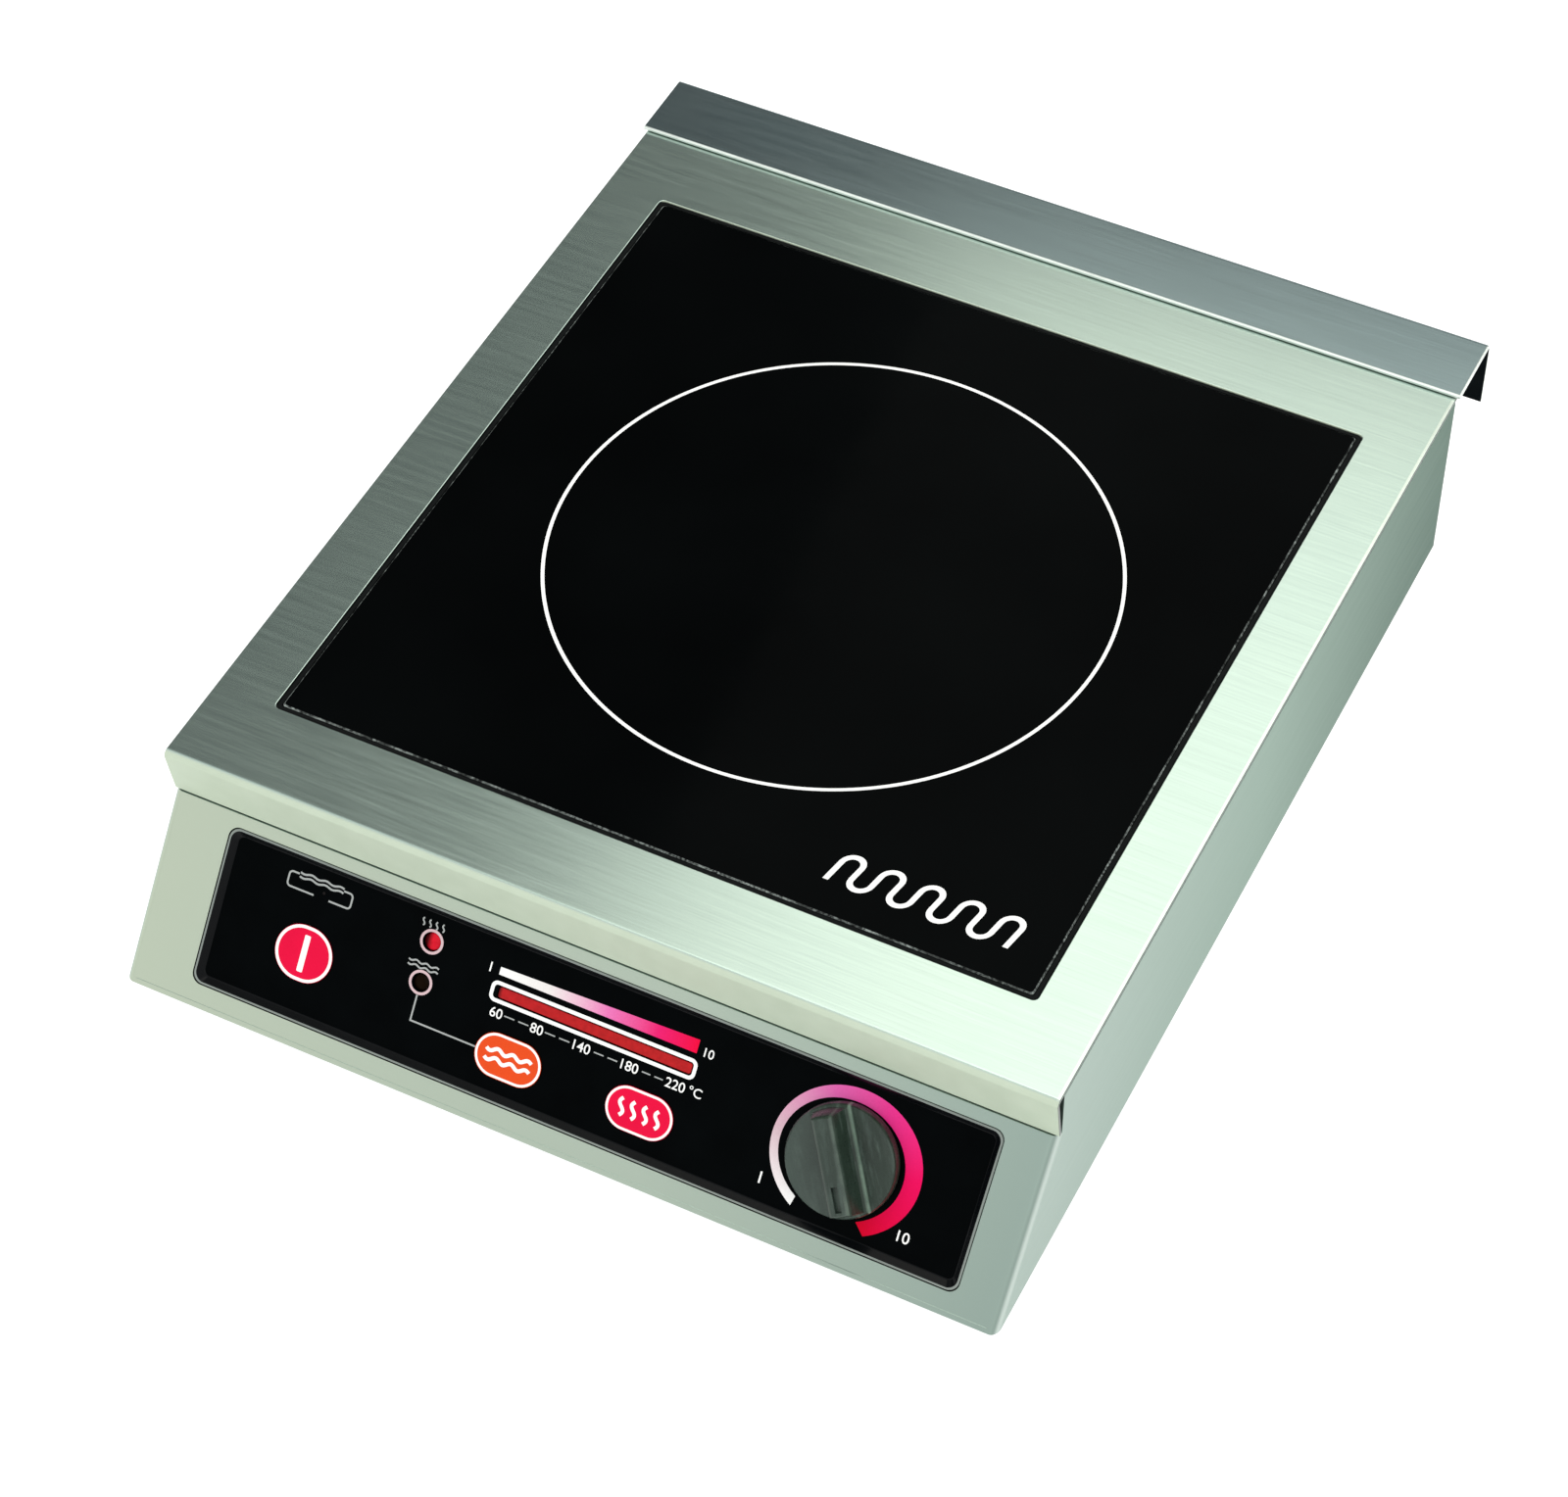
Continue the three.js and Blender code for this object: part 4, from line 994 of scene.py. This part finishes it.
def bezel():
    """Dished panel insert: a raised rim, sloping walls and a floor with a hole for each control."""
    back = FLOOR - BEZEL_FLOOR
    # (inset, height): the outer wall, the crest, the sloping wall and the floor's margin.
    section = [
        (0, back), (0, -0.45), (0.13, -0.13), (0.45, 0), (0.8, -0.1), (1.05, -0.35),
        (2.5, -1.9), (2.85, FLOOR - 0.02), (3.2, FLOOR - 0.1), (3.2, back),
    ]
    rim = loft("bezel", [bezel_ring(inset, level) for inset, level in section], closed=True)
    rim_faces = len(rim.polygons)
    gap = 0.3
    outlines = [[(x, -y) for x, y, _ in bezel_ring(3.0, 0)]]
    for name in ("power_button", "warm_button", "heat_button"):
        width, height = button_size(name)
        outlines.append(pill_outline(panel_place(name), width + 2 * gap, height + 2 * gap, 12))
    for name in ("heat_lamp", "warm_lamp"):
        outlines.append(circle_outline(panel_place(name), LAMP_HOLE, 40))
    outlines.append(circle_outline(panel_place("knob"), KNOB_HOLE, 40))
    width, height = panel_size("light_bar")
    window = rounded_box_outline(panel_place("light_bar"), width + 2 * gap, height + 2 * gap, 1, 4)
    outlines.append(window)
    floor = slab("bezel_floor", outlines, back, FLOOR)
    work = bmesh.new()
    work.from_mesh(rim)
    work.from_mesh(floor)
    work.to_mesh(rim)
    work.free()
    piece = add_piece("bezel", rim, "gloss_black", "casing", PANEL)
    rim.materials.append(MATERIALS["rim_black"])
    rim.materials.append(MATERIALS["rim_highlight_grey"])
    strip = rim_faces // len(section)  # faces all round, between two points of the section
    # The crest gets the grey painted highlight, and the walls stay near black.
    crest = range(strip, 4 * strip)
    for face in rim.polygons[:rim_faces]:
        face.material_index = 2 if face.index in crest else 1
    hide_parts("control_bezel")
    shade_by_angle(piece, 35)


def knob():
    """Low disc with a grip blade right across it, hollow underneath, with a pointer slot."""
    radius, shoulder, top, bottom = 19.5, 5.0, 14.0, 0.6
    profile = [
        (radius - 0.5, bottom), (radius, bottom + 0.5), (radius - 0.1, shoulder - 1.2),
        (radius - 0.5, shoulder - 0.3), (radius - 1.3, shoulder + 0.3),
        (radius - 1.7, shoulder + 2), (radius - 2.6, top - 1.2), (radius - 3.2, top - 0.3),
        (radius - 3.8, top + 0.5), (radius - 3.8, top + 2),
    ]
    grip_half, foot_half = 3.2, 6.0
    half_section = [
        (radius + 5, shoulder - 1.0), (radius - 1.2, shoulder - 0.1), (radius - 4, shoulder + 0.1),
        (foot_half + 1.6, shoulder - 0.4), (foot_half + 0.8, shoulder - 0.7),
        (foot_half + 0.2, shoulder + 0.3), (foot_half - 0.5, shoulder + 0.8),
        (grip_half + 0.9, top - 2.2), (grip_half + 0.3, top - 0.6), (grip_half - 0.6, top - 0.05),
        (grip_half - 1.6, top),
    ]
    section = [(radius + 5, bottom - 1), *half_section]
    section += [(-x, z) for x, z in reversed(section)]
    slot_half, slot_floor, slot_length, slot_place = 1.1, top - 1.6, 8.6, -10.8
    slot = prism("slot", [
        (-slot_half, slot_floor), (slot_half, slot_floor), (slot_half, top + 1), (-slot_half, top + 1)
    ], slot_length)
    slot.transform(Matrix.Translation((0, slot_place * MM, 0)))
    hollow_radius, bore_radius = 9, 3.3
    mesh = combine(
        "knob_grip",
        turned("knob_grip", profile),
        ("INTERSECT", prism("blade", section, 60)),
        ("DIFFERENCE", turned("hollow", [(hollow_radius, -1), (hollow_radius, 3)], 48)),
        ("DIFFERENCE", turned("bore", [(bore_radius, -1), (bore_radius, 9.6)], 32)),
        ("DIFFERENCE", slot),
    )
    x, down = panel_place("knob")
    place = Matrix.Translation((x * MM, -down * MM, FLOOR * MM)) @ Matrix.Rotation(KNOB_REST, 4, "Z")
    piece = add_piece("knob_grip", mesh, "knob_plastic", "knob", PANEL @ place)
    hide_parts("knob")
    soften_edges(piece, 0.25, 32)


# -------- inside and fasteners
def winding():
    """Flat spiral of litz wire in place of the coil's plain ring."""
    low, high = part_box("induction_coil")
    centre = (low + high) / 2
    outer = (high.x - low.x) / 2
    inner, turns, steps_a_turn, packing = 24 * MM, 16, 40, 0.92
    wire = (outer - inner) / turns / 2 * packing
    curve = bpy.data.curves.new("litz_winding", "CURVE")
    curve.dimensions = "3D"
    curve.bevel_depth = wire
    curve.bevel_resolution = 2
    curve.use_fill_caps = True
    count = turns * steps_a_turn
    spline = curve.splines.new("POLY")
    spline.points.add(count)
    for index, point in enumerate(spline.points):
        share = index / count
        angle = 2 * math.pi * turns * share
        radius = inner + wire + (outer - inner - 2 * wire) * share
        point.co = (radius * math.cos(angle), radius * math.sin(angle), 0, 1)
    mesh = evaluated_mesh(temporary("litz_winding", curve))
    smooth(mesh)
    piece = add_piece("litz_winding", mesh, "copper", matrix=Matrix.Translation(centre))
    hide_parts("induction_coil")


def screw(name, place, turn, radius=3.2):
    """Pan-head screw with a cross recess; its head points along its own Z, turned by a matrix."""
    height = radius * 0.62
    profile = [(radius, 0), (radius, height * 0.3)]
    for index in range(1, 6):
        angle = math.pi / 2 * index / 6
        profile.append((radius * math.cos(angle), height * (0.3 + 0.7 * math.sin(angle))))
    profile.append((radius * 0.12, height))
    cross = radius * 0.26
    bar = [(-cross / 2, height * 0.45), (cross / 2, height * 0.45), (cross / 2, 5), (-cross / 2, 5)]
    recesses = [prism("recess", bar, radius * 1.15) for _ in range(2)]
    recesses[1].transform(Matrix.Rotation(math.pi / 2, 4, "Z"))
    mesh = combine(name, turned(name, profile, 32), *[("DIFFERENCE", cut) for cut in recesses])
    stand = Matrix.Translation(place) @ turn
    shade_by_angle(add_piece(name, mesh, "aluminium", matrix=stand), 35)


def screws():
    """Screws that hold the rear panel to the wrap's flanges and the base plate from below."""
    low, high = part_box("rear_panel")
    back = Matrix.Rotation(-math.pi / 2, 4, "X")
    margin = 7 * MM
    for index, (share, side) in enumerate(itertools.product((0.12, 0.88), (-1, 1))):
        place = (side * (high.x - margin), CASING_BACK, low.z + (high.z - low.z) * share)
        screw(f"rear_screw_{index + 1}", place, back @ Matrix.Rotation(index, 4, "Z"))
    under = Matrix.Rotation(math.pi, 4, "X")
    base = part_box("body_wrap")[0].z
    for index, (y, side) in enumerate(itertools.product((-170, 0, 165), (-1, 1))):
        place = (side * 158 * MM, y * MM, base)
        screw(f"base_screw_{index + 1}", place, under @ Matrix.Rotation(index, 4, "Z"), 2.8)


# -------- studio
def light_table():
    """Pale diffusing floor, lit from below as well, so that shadows on it stay faint."""
    material = surface("light_table", (0.5, 0.5, 0.5), 0.8, 300, 0.004, 0)
    tree = material.node_tree
    shader = tree.nodes["Principled BSDF"]
    cloud = noise(tree, (0.8, 0.8, 0.8), 2)
    glow = [(0.3, (0.99, 0.99, 0.99)), (0.7, (1, 1, 1))]
    link(tree, ramp(tree, cloud, glow), shader.inputs["Emission Color"])
    shader.inputs["Emission Strength"].default_value = 0.72
    return material


def floor():
    half, thickness = 3000, 20
    corners = [(-half, -half), (half, -half), (half, half), (-half, half)]
    mesh = loft("floor", [[(x, y, level) for x, y in corners] for level in (-thickness, 0)])
    piece = temporary("floor", mesh)
    mesh.materials.append(light_table())


def softbox(name, place, aim, width, height, radiance, colour=(1, 1, 1), turn=0):
    """Rectangular light, aimed at a place and turned about its own axis."""
    light = bpy.data.lights.new(name, "AREA")
    light.shape = "RECTANGLE"
    light.size = width
    light.size_y = height
    light.energy = radiance * math.pi * width * height
    light.color = colour
    lamp = temporary(name, light)
    lamp.location = place
    lamp.rotation_mode = "QUATERNION"
    facing_aim = (Vector(aim) - Vector(place)).to_track_quat("-Z", "Y")
    lamp.rotation_quaternion = facing_aim @ Quaternion((0, 0, 1), math.radians(turn))


def studio_sky():
    """Pale all round, with one soft dark area high behind the object's left."""
    world = bpy.data.worlds.new("studio")
    bpy.context.scene.world = world
    world.use_nodes = True
    tree = world.node_tree
    background = tree.nodes["Background"]
    place = tree.nodes.new("ShaderNodeTexCoord")
    inner, outer = math.cos(math.radians(SHADE_CORE)), math.cos(math.radians(SHADE_EDGE))
    stops = [(0, (SKY, SKY, SKY)), (1, (SHADE, SHADE * 1.03, SHADE * 1.05))]
    factor = component(tree, place.outputs["Generated"], SHADE_DIRECTION, outer, inner)
    link(tree, ramp(tree, factor, stops), background.inputs["Color"])


def camera():
    """Camera at its azimuth and elevation round the aim, rolled a little."""
    azimuth, elevation = math.radians(CAMERA_AZIMUTH), math.radians(CAMERA_ELEVATION)
    back = Vector((
        math.sin(azimuth) * math.cos(elevation),
        -math.cos(azimuth) * math.cos(elevation),
        math.sin(elevation),
    ))
    data = bpy.data.cameras.new("camera")
    data.lens = LENS
    data.sensor_width = SENSOR_WIDTH
    data.clip_start = 0.05
    view = temporary("camera", data)
    view.location = Vector(CAMERA_AIM) + back * CAMERA_DISTANCE
    turn = (-back).to_track_quat("-Z", "Y").to_matrix()
    roll = Matrix.Rotation(math.radians(CAMERA_ROLL), 3, "Z")
    view.rotation_euler = (turn @ roll).to_euler()
    bpy.context.scene.camera = view


camera()
studio_sky()
floor()
softbox(
    "key", place=(0.07, 0.84, 1.55), aim=(0.07, 0.84, 0), width=1.3, height=1.68,
    radiance=1.74, colour=(1, 0.97, 0.9), turn=6,
)
softbox("front", place=(0.3, -1.7, 1.3), aim=(0, 0, 0.05), width=1.6, height=1.0, radiance=0.9)
bpy.context.scene.view_settings.view_transform = "Standard"

finish_cad_nodes()
glass_prints()
bezel()
button_marks()
lamp_marks()
light_bar_marks()
temperature_scale()
status_bracket()
dial()
knob()
winding()
screws()
